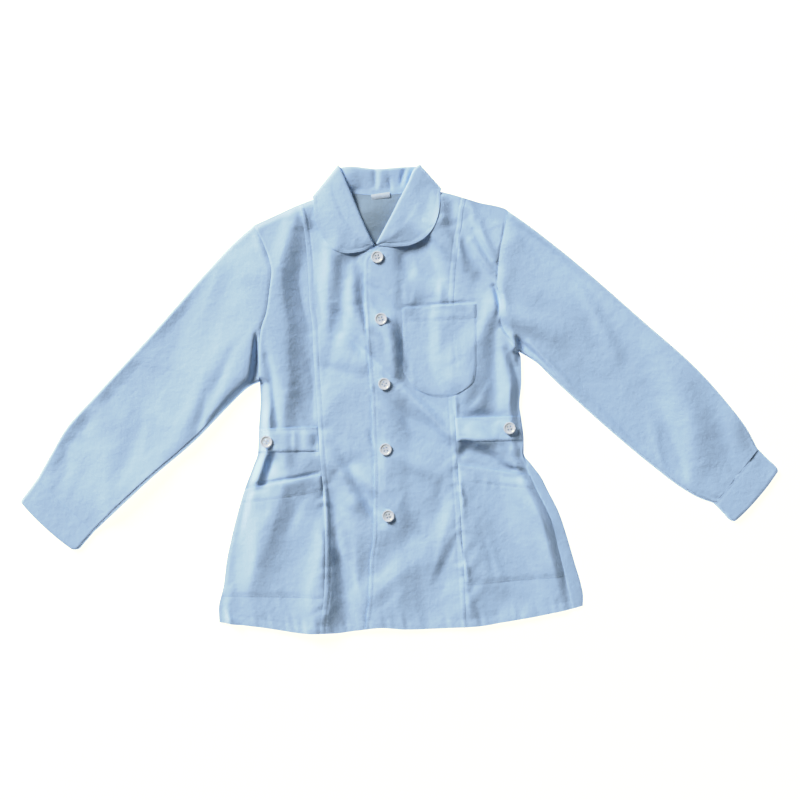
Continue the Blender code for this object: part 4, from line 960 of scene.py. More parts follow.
def grid_normals(surface, ring):
    """Unit normals of a grid of points, which closes round in a ring."""
    if ring:
        padded = np.concatenate((surface[:, -1:], surface, surface[:, :1]), axis=1)
        around = (padded[:, 2:] - padded[:, :-2]) / 2
    else:
        around = np.gradient(surface, axis=1)
    onward = np.gradient(surface, axis=0)
    normal = np.cross(around, onward)
    return normal / np.maximum(np.linalg.norm(normal, axis=2, keepdims=True), 1e-9)


def grid_quads(rows, columns, ring, start=0):
    """Corner numbers of a grid's faces."""
    spots = np.arange(rows * columns).reshape(rows, columns) + start
    if ring:
        spots = np.concatenate((spots, spots[:, :1]), axis=1)
    return np.stack((spots[:-1, :-1], spots[:-1, 1:], spots[1:, 1:], spots[1:, :-1]),
                    axis=-1).reshape(-1, 4)


def rim_loops(rows, columns, ring):
    """Point numbers round each open rim of a grid."""
    spots = np.arange(rows * columns).reshape(rows, columns)
    if ring:
        return [spots[0], spots[-1][::-1]]
    return [np.concatenate((spots[0], spots[1:, -1], spots[-1, -2::-1], spots[-2:0:-1, 0]))]


def bordered(grid, axis):
    """The grid with one more row close inside each of its outer rows, which keeps round
    shading from running over a cut edge."""
    grid = np.swapaxes(grid, 0, axis)
    rows = [grid[:1], grid[:1], grid[1:-1], grid[-1:], grid[-1:]]
    for place, edge, inner in ((1, grid[:1], grid[1:2]), (3, grid[-1:], grid[-2:-1])):
        step = inner - edge
        if grid.ndim == 3:
            length = np.linalg.norm(step, axis=2, keepdims=True)
            rows[place] = edge + step * np.minimum(BORDER / np.maximum(length, 1e-9), 0.4)
    return np.swapaxes(np.concatenate(rows), 0, axis)


def make_cloth(name, surface, wall, ring=False):
    """Close a surface of points into a thin wall of cloth, its outer side where the points are.
    The wall is a thickness, or one for each point."""
    for axis in (0,) if ring else (0, 1):
        surface = bordered(surface, axis)
        wall = bordered(wall, axis) if np.ndim(wall) else wall
    rows, columns = surface.shape[:2]
    normal = grid_normals(surface, ring)
    if ring:
        out = surface - surface.mean(axis=1, keepdims=True)
        if (normal * out).sum() < 0:
            surface, normal = surface[:, ::-1], -normal[:, ::-1]
    inner = surface - normal * (wall[..., None] if np.ndim(wall) else wall)
    size = rows * columns
    faces = [grid_quads(rows, columns, ring), grid_quads(rows, columns, ring, size)[:, ::-1]]
    for loop in rim_loops(rows, columns, ring):
        following = np.roll(loop, -1)
        faces.append(np.stack((following, loop, loop + size, following + size), axis=1))
    points = (np.concatenate((surface.reshape(-1, 3), inner.reshape(-1, 3))) + SHIFT) * MM
    rounded = np.concatenate([np.full(len(part), number < 2) for number, part in enumerate(faces)])
    return add_mesh(name, points, np.concatenate(faces), rounded)


def add_mesh(name, points, faces, rounded=True):
    """A mesh of faces with equally many corners, shaded round where that is asked."""
    mesh = bpy.data.meshes.new(name)
    corners = faces.shape[1]
    mesh.vertices.add(len(points))
    mesh.vertices.foreach_set("co", np.ascontiguousarray(points, np.float32).ravel())
    mesh.loops.add(faces.size)
    mesh.loops.foreach_set("vertex_index", np.ascontiguousarray(faces, np.int32).ravel())
    mesh.polygons.add(len(faces))
    mesh.polygons.foreach_set("loop_start", np.arange(0, faces.size, corners, dtype=np.int32))
    mesh.polygons.foreach_set("use_smooth", np.broadcast_to(rounded, len(faces)).astype(bool))
    mesh.update(calc_edges=True)
    mesh.validate()
    piece = bpy.data.objects.new(name, mesh)
    bpy.context.scene.collection.objects.link(piece)
    return piece


def flat_cut(surface, ring=False):
    """Width, length and area of the flat piece that a surface was cut from, in metres."""
    if ring:
        surface = np.concatenate((surface, surface[:, :1]), axis=1)
    across = np.linalg.norm(np.diff(surface, axis=1), axis=2).sum(axis=1).max()
    onward = np.linalg.norm(np.diff(surface, axis=0), axis=2).sum(axis=0).max()
    one, two = surface[1:, 1:] - surface[:-1, :-1], surface[1:, :-1] - surface[:-1, 1:]
    area = np.linalg.norm(np.cross(one, two), axis=2).sum() / 2
    size = (across * MM, onward * MM)
    return size, min(area * MM * MM, size[0] * size[1])


def finish_cloth(piece, node, surface, look, ring=False,
                 turned_in=0.0):
    """Give a sheet its material, attach it to the root body and hide the part it stands for. turned_in
    is cloth out of sight.
    """
    size, area = flat_cut(surface, ring)
    size = (size[0], size[1] + turned_in * MM)
    piece.data.materials.append(look)
    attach(piece, "root")
    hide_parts(node)


def on_surface(form, grid, height):
    """A plan grid raised to a height given as a function."""
    x, y = grid[..., 0], grid[..., 1]
    return np.stack((x, y, height(form, x, y)), axis=-1)


# ---- Materials.

def linear(code):
    """sRGB hex to linear colour."""
    parts = [int(code[i:i + 2], 16) / 255 for i in (1, 3, 5)]
    return tuple(p / 12.92 if p <= 0.04045 else ((p + 0.055) / 1.055) ** 2.4 for p in parts) + (1.0,)


def add_node(tree, kind, settings=None, links=None):
    """Add one node, with its settings and the sockets that feed it."""
    node = tree.nodes.new(kind)
    for key, value in (settings or {}).items():
        if isinstance(key, int) or key in node.inputs:
            node.inputs[key].default_value = value
        else:
            setattr(node, key, value)
    for key, source in (links or {}).items():
        tree.links.new(source, node.inputs[key])
    return node


def new_material(name):
    """A new material with its tree and shader, or the one of that name and no tree."""
    material = bpy.data.materials.get(name)
    if material:
        return material, None, None
    material = bpy.data.materials.new(name)
    material.use_nodes = True
    tree = material.node_tree
    return material, tree, tree.nodes["Principled BSDF"]


def two_tones(tree, shader, base, second, share):
    """Mix two sRGB hex colours into the shader's base colour, by a share from 0 to 1."""
    colour = add_node(tree, "ShaderNodeMix", {"data_type": "RGBA"}, {0: share})
    colour.inputs[6].default_value = linear(base)
    colour.inputs[7].default_value = linear(second)
    tree.links.new(colour.outputs[2], shader.inputs["Base Color"])


def set_inputs(shader, values):
    """Set sockets of a shader by name."""
    for name, value in values.items():
        shader.inputs[name].default_value = value


def drifting(name, base, second, noise, values):
    """A material whose colour drifts between two tones by a noise."""
    material, tree, shader = new_material(name)
    if tree is not None:
        place = add_node(tree, "ShaderNodeTexCoord").outputs["Object"]
        drift = add_node(tree, "ShaderNodeTexNoise", noise, {"Vector": place})
        two_tones(tree, shader, base, second, drift.outputs["Fac"])
        set_inputs(shader, values)
    return material


def woven_height(tree, place):
    """Height of a plain weave: a wave each way, multiplied."""
    scale = 0.5 / (THREAD_PAIR * MM)
    waves = [add_node(tree, "ShaderNodeTexWave", {"Scale": scale, "Distortion": 0.6, "Detail": 1.0,
                      "bands_direction": way}, {"Vector": place}).outputs["Fac"] for way in "XY"]
    return add_node(tree, "ShaderNodeMath", {"operation": "MULTIPLY"}, dict(enumerate(waves)))


def poly_cotton(name, base, second):
    """Plain-woven 65/35 polyester and cotton, easy-care finished: an even light blue that
    looks matt face-on, gets a faint pale bloom at a low angle, and shows a fine cross grid
    of threads and a few thicker ones close up. The grid is drawn at about 0.9 mm a pair,
    twice the real spacing, so that it shows at all."""
    material, tree, shader = new_material(name)
    if tree is None:
        return material
    place = add_node(tree, "ShaderNodeTexCoord").outputs["Object"]
    weave = woven_height(tree, place)
    slubs = add_node(tree, "ShaderNodeMapping", {"Scale": (420.0, 34.0, 60.0)}, {"Vector": place})
    slub = add_node(tree, "ShaderNodeTexNoise", {"Scale": 1.0, "Detail": 2.0, "Roughness": 0.55},
                    {"Vector": slubs.outputs[0]})
    cloud = add_node(tree, "ShaderNodeTexNoise", {"Scale": 9.0, "Detail": 3.0, "Roughness": 0.6},
                     {"Vector": place})
    mixed = add_node(tree, "ShaderNodeMath", {"operation": "MULTIPLY", 1: 0.5},
                     {0: slub.outputs["Fac"]})
    toned = add_node(tree, "ShaderNodeMath", {"operation": "MULTIPLY_ADD", 1: 0.5},
                     {0: cloud.outputs["Fac"], 2: mixed.outputs[0]})
    two_tones(tree, shader, base, second, toned.outputs[0])
    height = add_node(tree, "ShaderNodeMath", {"operation": "MULTIPLY_ADD", 1: 0.45},
                      {0: slub.outputs["Fac"], 2: weave.outputs[0]})
    crumple = add_node(tree, "ShaderNodeTexNoise", {"Scale": 110.0, "Detail": 4.0,
                       "Roughness": 0.6}, {"Vector": place})
    worn = add_node(tree, "ShaderNodeBump", {"Strength": 0.7, "Distance": 0.0013},
                    {"Height": crumple.outputs["Fac"]})
    raised = add_node(tree, "ShaderNodeBump", {"Strength": 0.22, "Distance": 0.00012},
                      {"Height": height.outputs[0], "Normal": worn.outputs[0]})
    tree.links.new(raised.outputs[0], shader.inputs["Normal"])
    set_inputs(shader, {"Roughness": 0.82, "Specular IOR Level": 0.35, "Sheen Weight": 0.12,
                        "Sheen Roughness": 0.45})
    return material


def pressed_resin(name, base):
    """Cast polyester resin button, tumbled and polished: milky, with a faint pearl swirl and
    a soft highlight."""
    return drifting(name, base, "#DAE1E8", {"Scale": 220.0, "Detail": 2.0, "Distortion": 1.6},
                    {"Roughness": 0.24, "IOR": 1.54, "Coat Weight": 0.25, "Coat Roughness": 0.12,
                     "Subsurface Weight": 0.15, "Subsurface Radius": (0.002, 0.0018, 0.0016)})


def spun_thread(name, base):
    """Core-spun polyester sewing thread: pale, with a low sheen and a ply twist too fine to
    see, drawn as a slight unevenness."""
    return drifting(name, base, "#A9C4E0", {"Scale": 900.0, "Detail": 1.0},
                    {"Roughness": 0.55, "Sheen Weight": 0.2})


def cloth_look(context):
    """The jacket's cloth, right side."""
    colours = context.scene.jacket_colours
    return poly_cotton("poly_cotton", colours.cloth, colours.cloth_shade)


def painted_board(name, base):
    """Matt white board lit from behind, as for a cut-out picture: it glows evenly and takes
    hardly a shadow."""
    return drifting(name, base, "#F7F7F7", {"Scale": 60.0, "Detail": 2.0},
                    {"Roughness": 0.9, "Emission Color": (1.0, 1.0, 1.0, 1.0),
                     "Emission Strength": 1.75})


# ---- Pieces.

def back_top(form, x, y):
    """Top of the back: nearly flat, over the collar at the neck, sloping inside the neck."""
    fine = (0.3 * rumple(x, y, 38.0, 11) + 0.25) * edge_share(form, x, y)
    inside = smooth((y - 222.0) / 14.0) * smooth((x + 92.0) / 8.0) * smooth((24.0 - x) / 8.0) \
        * smooth((310.0 - y) / 34.0)
    slope = 7.0 * smooth((NECK_LOW + 0.25 * (y - 300.0) - x) / 62.0)
    return (neck_lift(form, x, y) + 1.2 + np.clip(fine, -0.1, 0.25) + strip_rise(x, y)
            + inside * slope)


def back_grid():
    """Plan grid of the back, whose top dips at the neck."""
    left, right = edge_line(SIDE_RIGHT, "side_right"), edge_line(SIDE_LEFT, "side_left")
    top = tuple(row for row in SHOULDER_LINE if row[0] < -88) + BACK_NECK
    top += tuple(row for row in SHOULDER_LINE if row[0] > 17)
    return fit_ends(between_lines(left, right, 150, 0.0), top, "underarm")


def build_back(form, look, inside):
    """The back, its wrong side showing inside the neck. The faces there that look up take a darker copy
    of the cloth as painted shade.
    """
    surface = on_surface(form, back_grid(), back_top)
    piece = make_cloth("back_cloth", surface, form.wall)
    finish_cloth(piece, "back_panel", surface, look)
    piece.data.materials.append(inside)
    # Upward faces inside the neck take the darker inside material: painted shade, not a different cloth
    # colour.
    for polygon in piece.data.polygons:
        x, y = polygon.center.x / MM - SHIFT[0], polygon.center.y / MM - SHIFT[1]
        if polygon.normal.z > 0.3 and y > 215.0 and abs(x + 33.0) < 75.0:
            polygon.material_index = 1


def build_fronts(form, look):
    """The four front panels."""
    centre_right = fit_ends(between_lines(edge_line(PRINCESS_RIGHT, "princess_right"),
                                          edge_line(LAP_UNDER, "lap_under"), 64))
    centre_left = fit_ends(between_lines(edge_line(LAP_OVER, "lap_over"),
                                         edge_line(PRINCESS_LEFT, "princess_left"), 70))
    panels = (
        ("front_side_right", side_panel("right"), front_top),
        ("front_centre_right", centre_right, front_top),
        ("front_centre_left", centre_left, lapped_top),
        ("front_side_left", side_panel("left"), front_top),
    )
    for node, grid, height in panels:
        surface = on_surface(form, grid, height)
        piece = make_cloth(node + "_cloth", surface, form.wall)
        finish_cloth(piece, node, surface, look)


def patch_shares(grid):
    """Places up and across a patch, from -1 to 1, and a share that is 0 where it is sewn."""
    rows, columns = grid.shape[:2]
    up = np.linspace(-1.0, 1.0, rows)[:, None]
    across = np.linspace(-1.0, 1.0, columns)[None, :]
    fade = smooth((1.0 - np.abs(across)) / 0.12) * smooth((1.0 - up) / 0.1 + 0.5)
    return up, across, fade * smooth((1.0 + up) / 0.12)


def patch_surface(form, grid, clear, puff, mouth_gap=0.0):
    """A patch made from a panel's points, moved up, its middle and its mouth standing off."""
    up, across, fade = patch_shares(grid)
    middle = (1.0 - up ** 4) * (1.0 - across ** 4)
    mouth = smooth((up - 0.55) / 0.45) * (1.0 - across ** 6)
    x, y = grid[..., 0], grid[..., 1]
    relief = 0.2 * rumple(x, y, 22.0, 8) * middle
    z = lapped_top(form, x, y) + 0.1 + (form.wall + clear - 0.1) * fade
    z = z + np.maximum(puff * middle + relief, 0.0) + mouth_gap * mouth
    return np.stack((x, y, z), axis=-1)


def patch_wall(form, grid):
    """A patch's cloth is pressed thin where its edge is sewn down."""
    return 0.1 + (form.wall - 0.1) * patch_shares(grid)[2]


def turn_hem(surface, depth, pressed, thick, pucker, spread):
    """Hem at a patch's mouth: a pressed stitch line, thick above it, puckered by the thread.
    pucker is a height for each column, strongest just inside the line."""
    down = np.linalg.norm(surface[-1:, :, :2] - surface[:, :, :2], axis=2)
    surface[..., 2] -= pressed * np.exp(-((down - depth) / 1.3) ** 2)
    surface[..., 2] += thick * smooth((depth - down) / 2.0)
    surface[..., 2] += pucker * np.exp(-((down - depth + 2.0) / spread) ** 2)
    return surface


def hip_surface(form, side):
    """A hip pocket, from the side panel's points."""
    grid = pulled_in(rows_between(side_panel(side), "pocket_bottom", "pocket_mouth"), 0.8, 0.5)
    surface = patch_surface(form, grid, 0.3, 0.9, 0.9)
    return turn_hem(surface, POCKET_HEM, 0.35, 0.35, 0.4 * ripple(grid[..., 0], 6.5, 51), 12.0)


def build_hip_pocket(form, look, side):
    """One hip pocket."""
    surface = hip_surface(form, side)
    piece = make_cloth("hip_pocket_%s_cloth" % side, surface, patch_wall(form, surface))
    finish_cloth(piece, "hip_pocket_" + side, surface, look)


def chest_grid():
    """Plan grid of the chest pocket, its round bottom from the table's rows."""
    rows = [named(CHEST_POCKET, row) for row in CHEST_POCKET_ROWS]
    cells = [8 if number < 2 else 7 for number in range(len(rows) - 1)]
    spots = np.concatenate([np.linspace(n, n + 1, count, endpoint=False)
                            for n, count in enumerate(cells)] + [[len(rows) - 1.0]])
    keys = np.arange(len(rows))
    left = through(keys, [(row["x_left"], row["y_left"]) for row in rows], spots)
    right = through(keys, [(row["x_right"], row["y_right"]) for row in rows], spots)
    grid = between_lines(left, right, 48)
    sag = POCKET_SAG * (1.0 - np.linspace(-1.0, 1.0, 49) ** 2)
    for row in range(SAG_ROWS):
        grid[row, :, 1] -= sag * (1.0 - row / SAG_ROWS) ** 2
    return grid


def chest_surface(form):
    """The chest pocket, over the left front."""
    grid = chest_grid()
    surface = patch_surface(form, grid, 0.1, 0.5, 0.5)
    return turn_hem(surface, CHEST_HEM, 0.45, 0.3, 0.36 * ripple(grid[..., 0], 6.0, 53), 9.0)


def build_chest_pocket(form, look):
    """The chest pocket."""
    surface = chest_surface(form)
    piece = make_cloth("chest_pocket_cloth", surface, patch_wall(form, surface))
    finish_cloth(piece, "chest_pocket", surface, look)


def tab_surface(form, side):
    """A waist tab, from the side panel's points, with a pressed line inside both long edges."""
    grid = rows_between(side_panel(side), "tab_bottom", "tab_top")
    fine = np.linspace(0, len(grid) - 1, 25)
    grid = pulled_in(through(np.arange(len(grid)), grid, fine), 0.6, 0.2)
    surface = patch_surface(form, grid, 0.3, 0.3)
    up = np.abs(np.linspace(-1.0, 1.0, len(grid)))[:, None]
    surface[..., 2] += 0.5 - 0.35 * np.exp(-((up - 0.88) / 0.06) ** 2)
    return surface


def build_tab(form, look, side):
    """One waist tab, of doubled cloth."""
    surface = tab_surface(form, side)
    piece = make_cloth("waist_tab_%s_cloth" % side, surface, form.wall + 0.4)
    finish_cloth(piece, "waist_tab_" + side, surface, look)


# ---- Sleeves and cuffs.

def tube_edges(sections, cells):
    """Both edges of a tube at evenly spaced sections."""
    rows = np.asarray(sections, float).reshape(-1, 2, 2)
    lengths = np.linalg.norm(np.diff(rows.mean(axis=1), axis=0), axis=1)
    keys = np.concatenate(([0.0], np.cumsum(lengths)))
    return through(keys, rows, np.linspace(0.0, keys[-1], cells + 1))


def tube_shares():
    """Places across a tube from 0 to 1, closer together near its edges."""
    turned = (1.0 - np.cos(np.linspace(0.0, math.pi, TUBE_CELLS + 1))) / 2
    return turned * 0.4 + np.linspace(0.0, 1.0, TUBE_CELLS + 1) * 0.6


def tube_surface(form, edges, bends, along, folds, seed):
    """Flattened tube: over the top from edge to edge, then back underneath on the floor.
    along has, for each section, the height, the share of the folds and how far it sinks."""
    shares = tube_shares()
    plan = edges[:, :1] + (edges[:, 1:] - edges[:, :1]) * shares[None, :, None] + bends
    width = np.linalg.norm(edges[:, 1] - edges[:, 0], axis=1)[:, None]
    inward = np.minimum(shares, 1.0 - shares)[None, :] * width
    x, y = plan[..., 0], plan[..., 1]
    rise, fold_share, sunk = along
    body = rise * (0.8 + 0.2 * smooth(inward / 28.0)) - sunk
    relief = fold_relief(folds, x, y) * form.fold_depth * fold_share
    relief = relief * smooth(inward / np.where(relief < 0.0, 24.0, 3.0))
    fine = 0.3 * rumple(x, y, 36.0, seed) + 0.12 * rumple(x, y, 12.0, seed + 1)
    lift = held_height(body + relief + fine * smooth(inward / 20.0)) + armhole_relief(x, y)
    side = np.sqrt(np.clip(inward / 3.4, 0.0, 1.0))
    over = np.stack((x, y, TUBE_MIDDLE + (TUBE_MIDDLE + lift) * side), axis=-1)
    below = np.stack((x, y, TUBE_MIDDLE * (1.0 - side)), axis=-1)[:, -2:0:-1]
    return np.concatenate((over, below), axis=1)


def sleeve_along(form, rows):
    """Height, share of the folds and sinking along a sleeve: it tucks in at the armhole, and
    comes down flat to its cuff."""
    share = np.arange(rows)[:, None] / (rows - 1.0)
    cuffed = smooth((share - 0.86) / 0.14)
    lower = form.cuff_height + 0.5 - form.sleeve_height
    rise = form.sleeve_height - 2 * TUBE_MIDDLE + lower * cuffed
    return rise, 1.0 - 0.85 * cuffed, 0.3 * (1.0 - smooth(share * rows / 4.0))


def sleeve_surface(form, side):
    """A sleeve whose first rows turn into the armhole of the body."""
    if side == "right":
        sections, armhole, away, seed = SLEEVE_RIGHT, edge_line(SIDE_RIGHT, "side_right"), -0.08, 61
    else:
        sections, armhole, away, seed = SLEEVE_LEFT, edge_line(SIDE_SEAM_LEFT, "side_left"), 0.08, 63
    edges, shares = tube_edges(sections, SLEEVE_CELLS), tube_shares()
    armhole = armhole[station_index("underarm"):][::-1]
    number = np.arange(len(edges))[:, None, None]
    edges = edges + (armhole[[0, -1]] - edges[0]) * np.clip(1.0 - number / ARMHOLE_ROWS, 0.0, 1.0) ** 2
    chord = armhole[0] + (armhole[-1] - armhole[0]) * shares[:, None]
    keep = np.clip(1.0 - number / BEND_ROWS, 0.0, 1.0) ** 1.5
    bends = (path_points(armhole, shares) - chord)[None] * keep
    bends[:, :, 0] += away * keep[:, :, 0]
    return tube_surface(form, edges, bends, sleeve_along(form, len(edges)), ALL_FOLDS, seed)


def gather(surface, side):
    """Small pleats where the sleeve is gathered into its cuff, and an end that runs under it."""
    rows, top = len(surface), slice(0, TUBE_CELLS + 1)
    number = np.arange(rows)[:, None]
    place = np.linspace(0.0, 1.0, TUBE_CELLS + 1)[None, :] * CUFFED_WIDTH
    wave = ripple(place, 7.0, 71 if side == "right" else 72)
    edge = smooth(np.minimum(place, CUFFED_WIDTH - place) / 10.0)
    surface[:, top, 2] += 0.55 * wave * smooth((number - (rows - 16)) / 15.0) * edge
    surface[:, top, 2] -= 0.3 * smooth((number - (rows - 4)) / 3.0) * edge
    onward = surface[-1, :, :2] - surface[-2, :, :2]
    surface[-1, :, :2] += 1.2 * onward / np.linalg.norm(onward, axis=1)[:, None]
    return surface


def build_sleeve(form, look, side):
    """One sleeve."""
    surface = gather(sleeve_surface(form, side), side)
    piece = make_cloth("sleeve_%s_cloth" % side, surface, form.wall, ring=True)
    finish_cloth(piece, "sleeve_" + side, surface, look, ring=True)


def cuff_surface(form, side):
    """A cuff: a stitch line near the sleeve, the free edge bowed out and pressed flat."""
    right = side == "right"
    edges = tube_edges(CUFF_RIGHT if right else CUFF_LEFT, CUFF_CELLS)
    out = edges[-1, 0] - edges[0, 0]
    out = out / np.linalg.norm(out)
    number = np.arange(len(edges), dtype=float)[:, None]
    across = np.linspace(0.0, 1.0, TUBE_CELLS + 1)
    reach = CUFF_BOW * (number / CUFF_CELLS) ** 2 * np.sin(math.pi * across)
    along = form.cuff_height - 2 * TUBE_MIDDLE, 1.0, 0.0
    surface = tube_surface(form, edges, reach[:, :, None] * out, along, CUFF_FOLDS,
                           81 if right else 83)
    pressed = 0.3 * np.exp(-((number - 2.5) / 0.9) ** 2) + 0.3 * smooth((1.5 - number) / 1.5)
    surface[:, :TUBE_CELLS + 1, 2] -= pressed + 1.1 * smooth((number - 24.0) / 2.0)
    return surface


def build_cuff(form, look, side):
    """One cuff."""
    surface = cuff_surface(form, side)
    piece = make_cloth("cuff_%s_cloth" % side, surface, form.wall, ring=True)
    finish_cloth(piece, "cuff_" + side, surface, look, ring=True)


# ---- Collar.

def collar_station(neck, roll, leaf, neck_z, low_z, high_z, edge_z, crown):
    """Middle of the cloth across the collar: neck seam, stand, roll, leaf."""
    stand, fall = np.linalg.norm(neck - roll), np.linalg.norm(roll - leaf)
    near_stand = 1.0 - min(2.6 / stand, 0.45)
    near_fall = min(2.6 / fall, 0.3)

    def point(start, end, share, z):
        """A point between two plan points, at a height."""
        return np.append(start + (end - start) * share, z)

    points = [np.append(neck, neck_z),
              point(neck, roll, near_stand * 0.5, neck_z + (low_z - neck_z) * 0.4),
              point(neck, roll, near_stand, low_z),
              np.append(roll, (low_z + high_z) / 2),
              point(roll, leaf, near_fall, high_z)]
    for step in LEAF_STEPS:
        share = near_fall + (1.0 - near_fall) * step
        spot = roll + (leaf - roll) * share
        ease = float(smooth(step))
        z = high_z + (edge_z(spot) - high_z) * ease + crown * math.sin(math.pi * step)
        points.append(np.append(spot, z))
    return np.array(points)


def front_collar(form, neck_path, roll_path, leaf_path):
    """Stations of one front half, whose leaf lies on the front panels."""
    shares = np.linspace(0.0, 1.0, len(neck_path))
    rolls, leaves = path_points(roll_path, shares), path_points(leaf_path, shares)
    stations = []
    for share, neck, roll, leaf in zip(shares, neck_path, rolls, leaves):
        low = float(front_under(form, neck[0:1], neck[1:2])[0]) + 0.5
        rolled = form.roll_height * (0.36 + 0.64 * math.sin(math.pi * share ** 0.8))
        stations.append(collar_station(
            neck, roll, leaf, low, low, max(min(low + rolled, COLLAR_TOP), low + 2.5),
            lambda spot: max(float(lapped_top(form, spot[0:1], spot[1:2])[0]),
                             form.puff + 2.8) + 0.6,
            0.9 * math.sin(math.pi * min(share + 0.2, 1.0))))
    return stations


def back_collar(form, neck_path):
    """Stations behind the neck, folded flat under the back."""
    shares = np.linspace(0.0, 1.0, len(neck_path))
    rolls, leaves = path_points(ROLL_BACK, shares), path_points(LEAF_BACK, shares)
    low = form.layer + 0.6
    return [collar_station(neck, roll, leaf, low, low + 2.2 * math.sin(math.pi * share) ** 0.6,
                           0.6, lambda spot: 0.6, 0.0)
            for share, neck, roll, leaf in zip(shares, neck_path, rolls, leaves)]


def wrap_collar(front, back, fold):
    """Stations round the side fold, from the front layer down to the back layer."""
    neck, roll, leaf = (np.array(point, float) for point in fold)
    plan = collar_station(neck, roll, leaf, 0.0, 0.0, 0.0, lambda spot: 0.0, 0.0)
    stations = []
    for angle in WRAP_ANGLES:
        turn = math.radians(angle)
        middle = (front + back) / 2
        station = front + (back - front) * angle / 180
        station[:, :2] += (plan[:, :2] - station[:, :2]) * math.sin(turn)
        station[:, 2] = middle[:, 2] + (front[:, 2] - back[:, 2]) / 2 * math.cos(turn)
        stations.append(station)
    return stations


def refine(grid, axis, spacing):
    """More rows along an axis, about a spacing apart, on smooth curves through the old ones."""
    grid = np.moveaxis(grid, axis, 0)
    gaps = np.linalg.norm(np.diff(grid, axis=0), axis=2).mean(axis=1)
    keys = np.concatenate(([0.0], np.cumsum(np.maximum(gaps, 0.3))))
    spots = [np.linspace(a, b, max(2, round((b - a) / spacing)), endpoint=False)
             for a, b in zip(keys, keys[1:])]
    fine = through(keys, grid, np.concatenate(spots + [[keys[-1]]]))
    return np.moveaxis(fine, 0, axis)


def collar_stations(form):
    """The collar from front edge to front edge: right half, side fold, back, side fold, left."""
    first = station_index("neck_base")
    shares = np.linspace(0.0, 1.0, 9)[1:]
    right_neck = path_points(edge_line(LAP_UNDER, "lap_under")[first:], shares) + 0.4
    left_neck = path_points(edge_line(LAP_OVER, "lap_over")[first:], shares) + (-0.4, 0.4)
    right = front_collar(form, right_neck, ROLL_RIGHT, LEAF_RIGHT)
    left = front_collar(form, left_neck, ROLL_LEFT, LEAF_LEFT)
    back = back_collar(form, path_points(BACK_NECK, np.linspace(0.0, 1.0, 9)) + (0.0, 0.4))
    stations = right + wrap_collar(right[-1], back[0], WRAP_RIGHT) + back
    return stations + wrap_collar(left[-1], back[-1], WRAP_LEFT)[::-1] + left[::-1]


def collar_surface(form):
    """Middle of the collar's cloth, with its creases, topstitching and puckers."""
    middle = refine(refine(np.array(collar_stations(form)), 0, COLLAR_GRID), 1, COLLAR_GRID)
    outline = np.linalg.norm(middle[:, -1:] - middle, axis=2)
    leaf = smooth((outline.max(axis=1, keepdims=True) * 0.62 - outline) / 4.0)
    x, y, z = middle[..., 0], middle[..., 1], middle[..., 2]
    z += fold_relief(LEAF_FOLDS, x, y) * leaf * (z > 3.0)
    z += fold_relief(COLLAR_FOLDS, x, y) * (1.0 - leaf) * smooth(z - 1.2) * smooth((8.0 - z) / 2.0)
    z -= 0.4 * np.exp(-((outline - COLLAR_STITCH) / 1.2) ** 2) * leaf
    z += 0.25 * smooth((COLLAR_STITCH - outline) / 2.0) * leaf
    along = np.arange(len(middle))[:, None] * COLLAR_GRID
    z += 0.18 * ripple(along + 0.3 * outline, 7.0, 91) * leaf * np.exp(-((outline - 4.0) / 8.0) ** 2)
    z += 0.35 * rumple(x, y, 26.0, 92) * leaf
    return middle


def build_collar(form, look):
    """The collar, its outer side up on the leaf."""
    middle = collar_surface(form)
    if grid_normals(middle, False)[5, -6, 2] < 0:
        middle = middle[:, ::-1]
    surface = middle + grid_normals(middle, False) * form.wall / 2
    piece = make_cloth("collar_cloth", surface, form.wall)
    finish_cloth(piece, "collar", surface, look)


# ---- Stitching.

def stitch_form(form):
    """One lock stitch, seen as a short rounded bar; modelled once, in mm."""
    bpy.ops.object.select_all(action="DESELECT")
    bpy.ops.mesh.primitive_uv_sphere_add(segments=6, ring_count=4, radius=1.0)
    seed = bpy.context.object
    seed.scale = (form.stitch_pitch * 0.36, 0.26, 0.2)
    bpy.ops.object.transform_apply(location=False, rotation=True, scale=True)
    seed.data.calc_loop_triangles()
    points = np.array([vertex.co for vertex in seed.data.vertices])
    faces = np.array([tri.vertices for tri in seed.data.loop_triangles])
    bpy.data.objects.remove(seed, do_unlink=True)
    return points, faces


def unit(vector):
    """A vector at length 1, or nothing if it has no length."""
    return vector / max(np.linalg.norm(vector), 1e-6)


def along_row(row, pitch):
    """Places a pitch apart along a row of points, each with its onward direction."""
    lengths = np.concatenate(([0.0], np.cumsum(np.linalg.norm(np.diff(row, axis=0), axis=1))))
    for spot in np.arange(pitch / 2, lengths[-1], pitch):
        here, ahead = ([np.interp(place, lengths, row[:, axis]) for axis in range(3)]
                       for place in (spot, spot + 0.6))
        yield here, unit(np.subtract(ahead, here))


def sew(form, name, rows, look):
    """Copies of the stitch along rows of points that lie on the cloth, joined in one mesh."""
    seed, faces = stitch_form(form)
    all_points, all_faces = [], []
    for row in rows:
        for here, onward in along_row(np.asarray(row, float), form.stitch_pitch):
            across = unit(np.cross((0.0, 0.0, 1.0), onward))
            turned = seed @ np.array((onward, across, np.cross(onward, across)))
            all_faces.append(faces + len(seed) * len(all_points))
            all_points.append(turned + here)
    points = (np.concatenate(all_points) + SHIFT) * MM
    piece = add_mesh(name, points, np.concatenate(all_faces))
    piece.data.materials.append(look)
    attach(piece, "root")


def on_cloth(form, plan):
    """Plan points raised just over the front."""
    plan = np.asarray(plan, float)
    return np.column_stack((plan, lapped_top(form, plan[:, 0], plan[:, 1]) + 0.05))


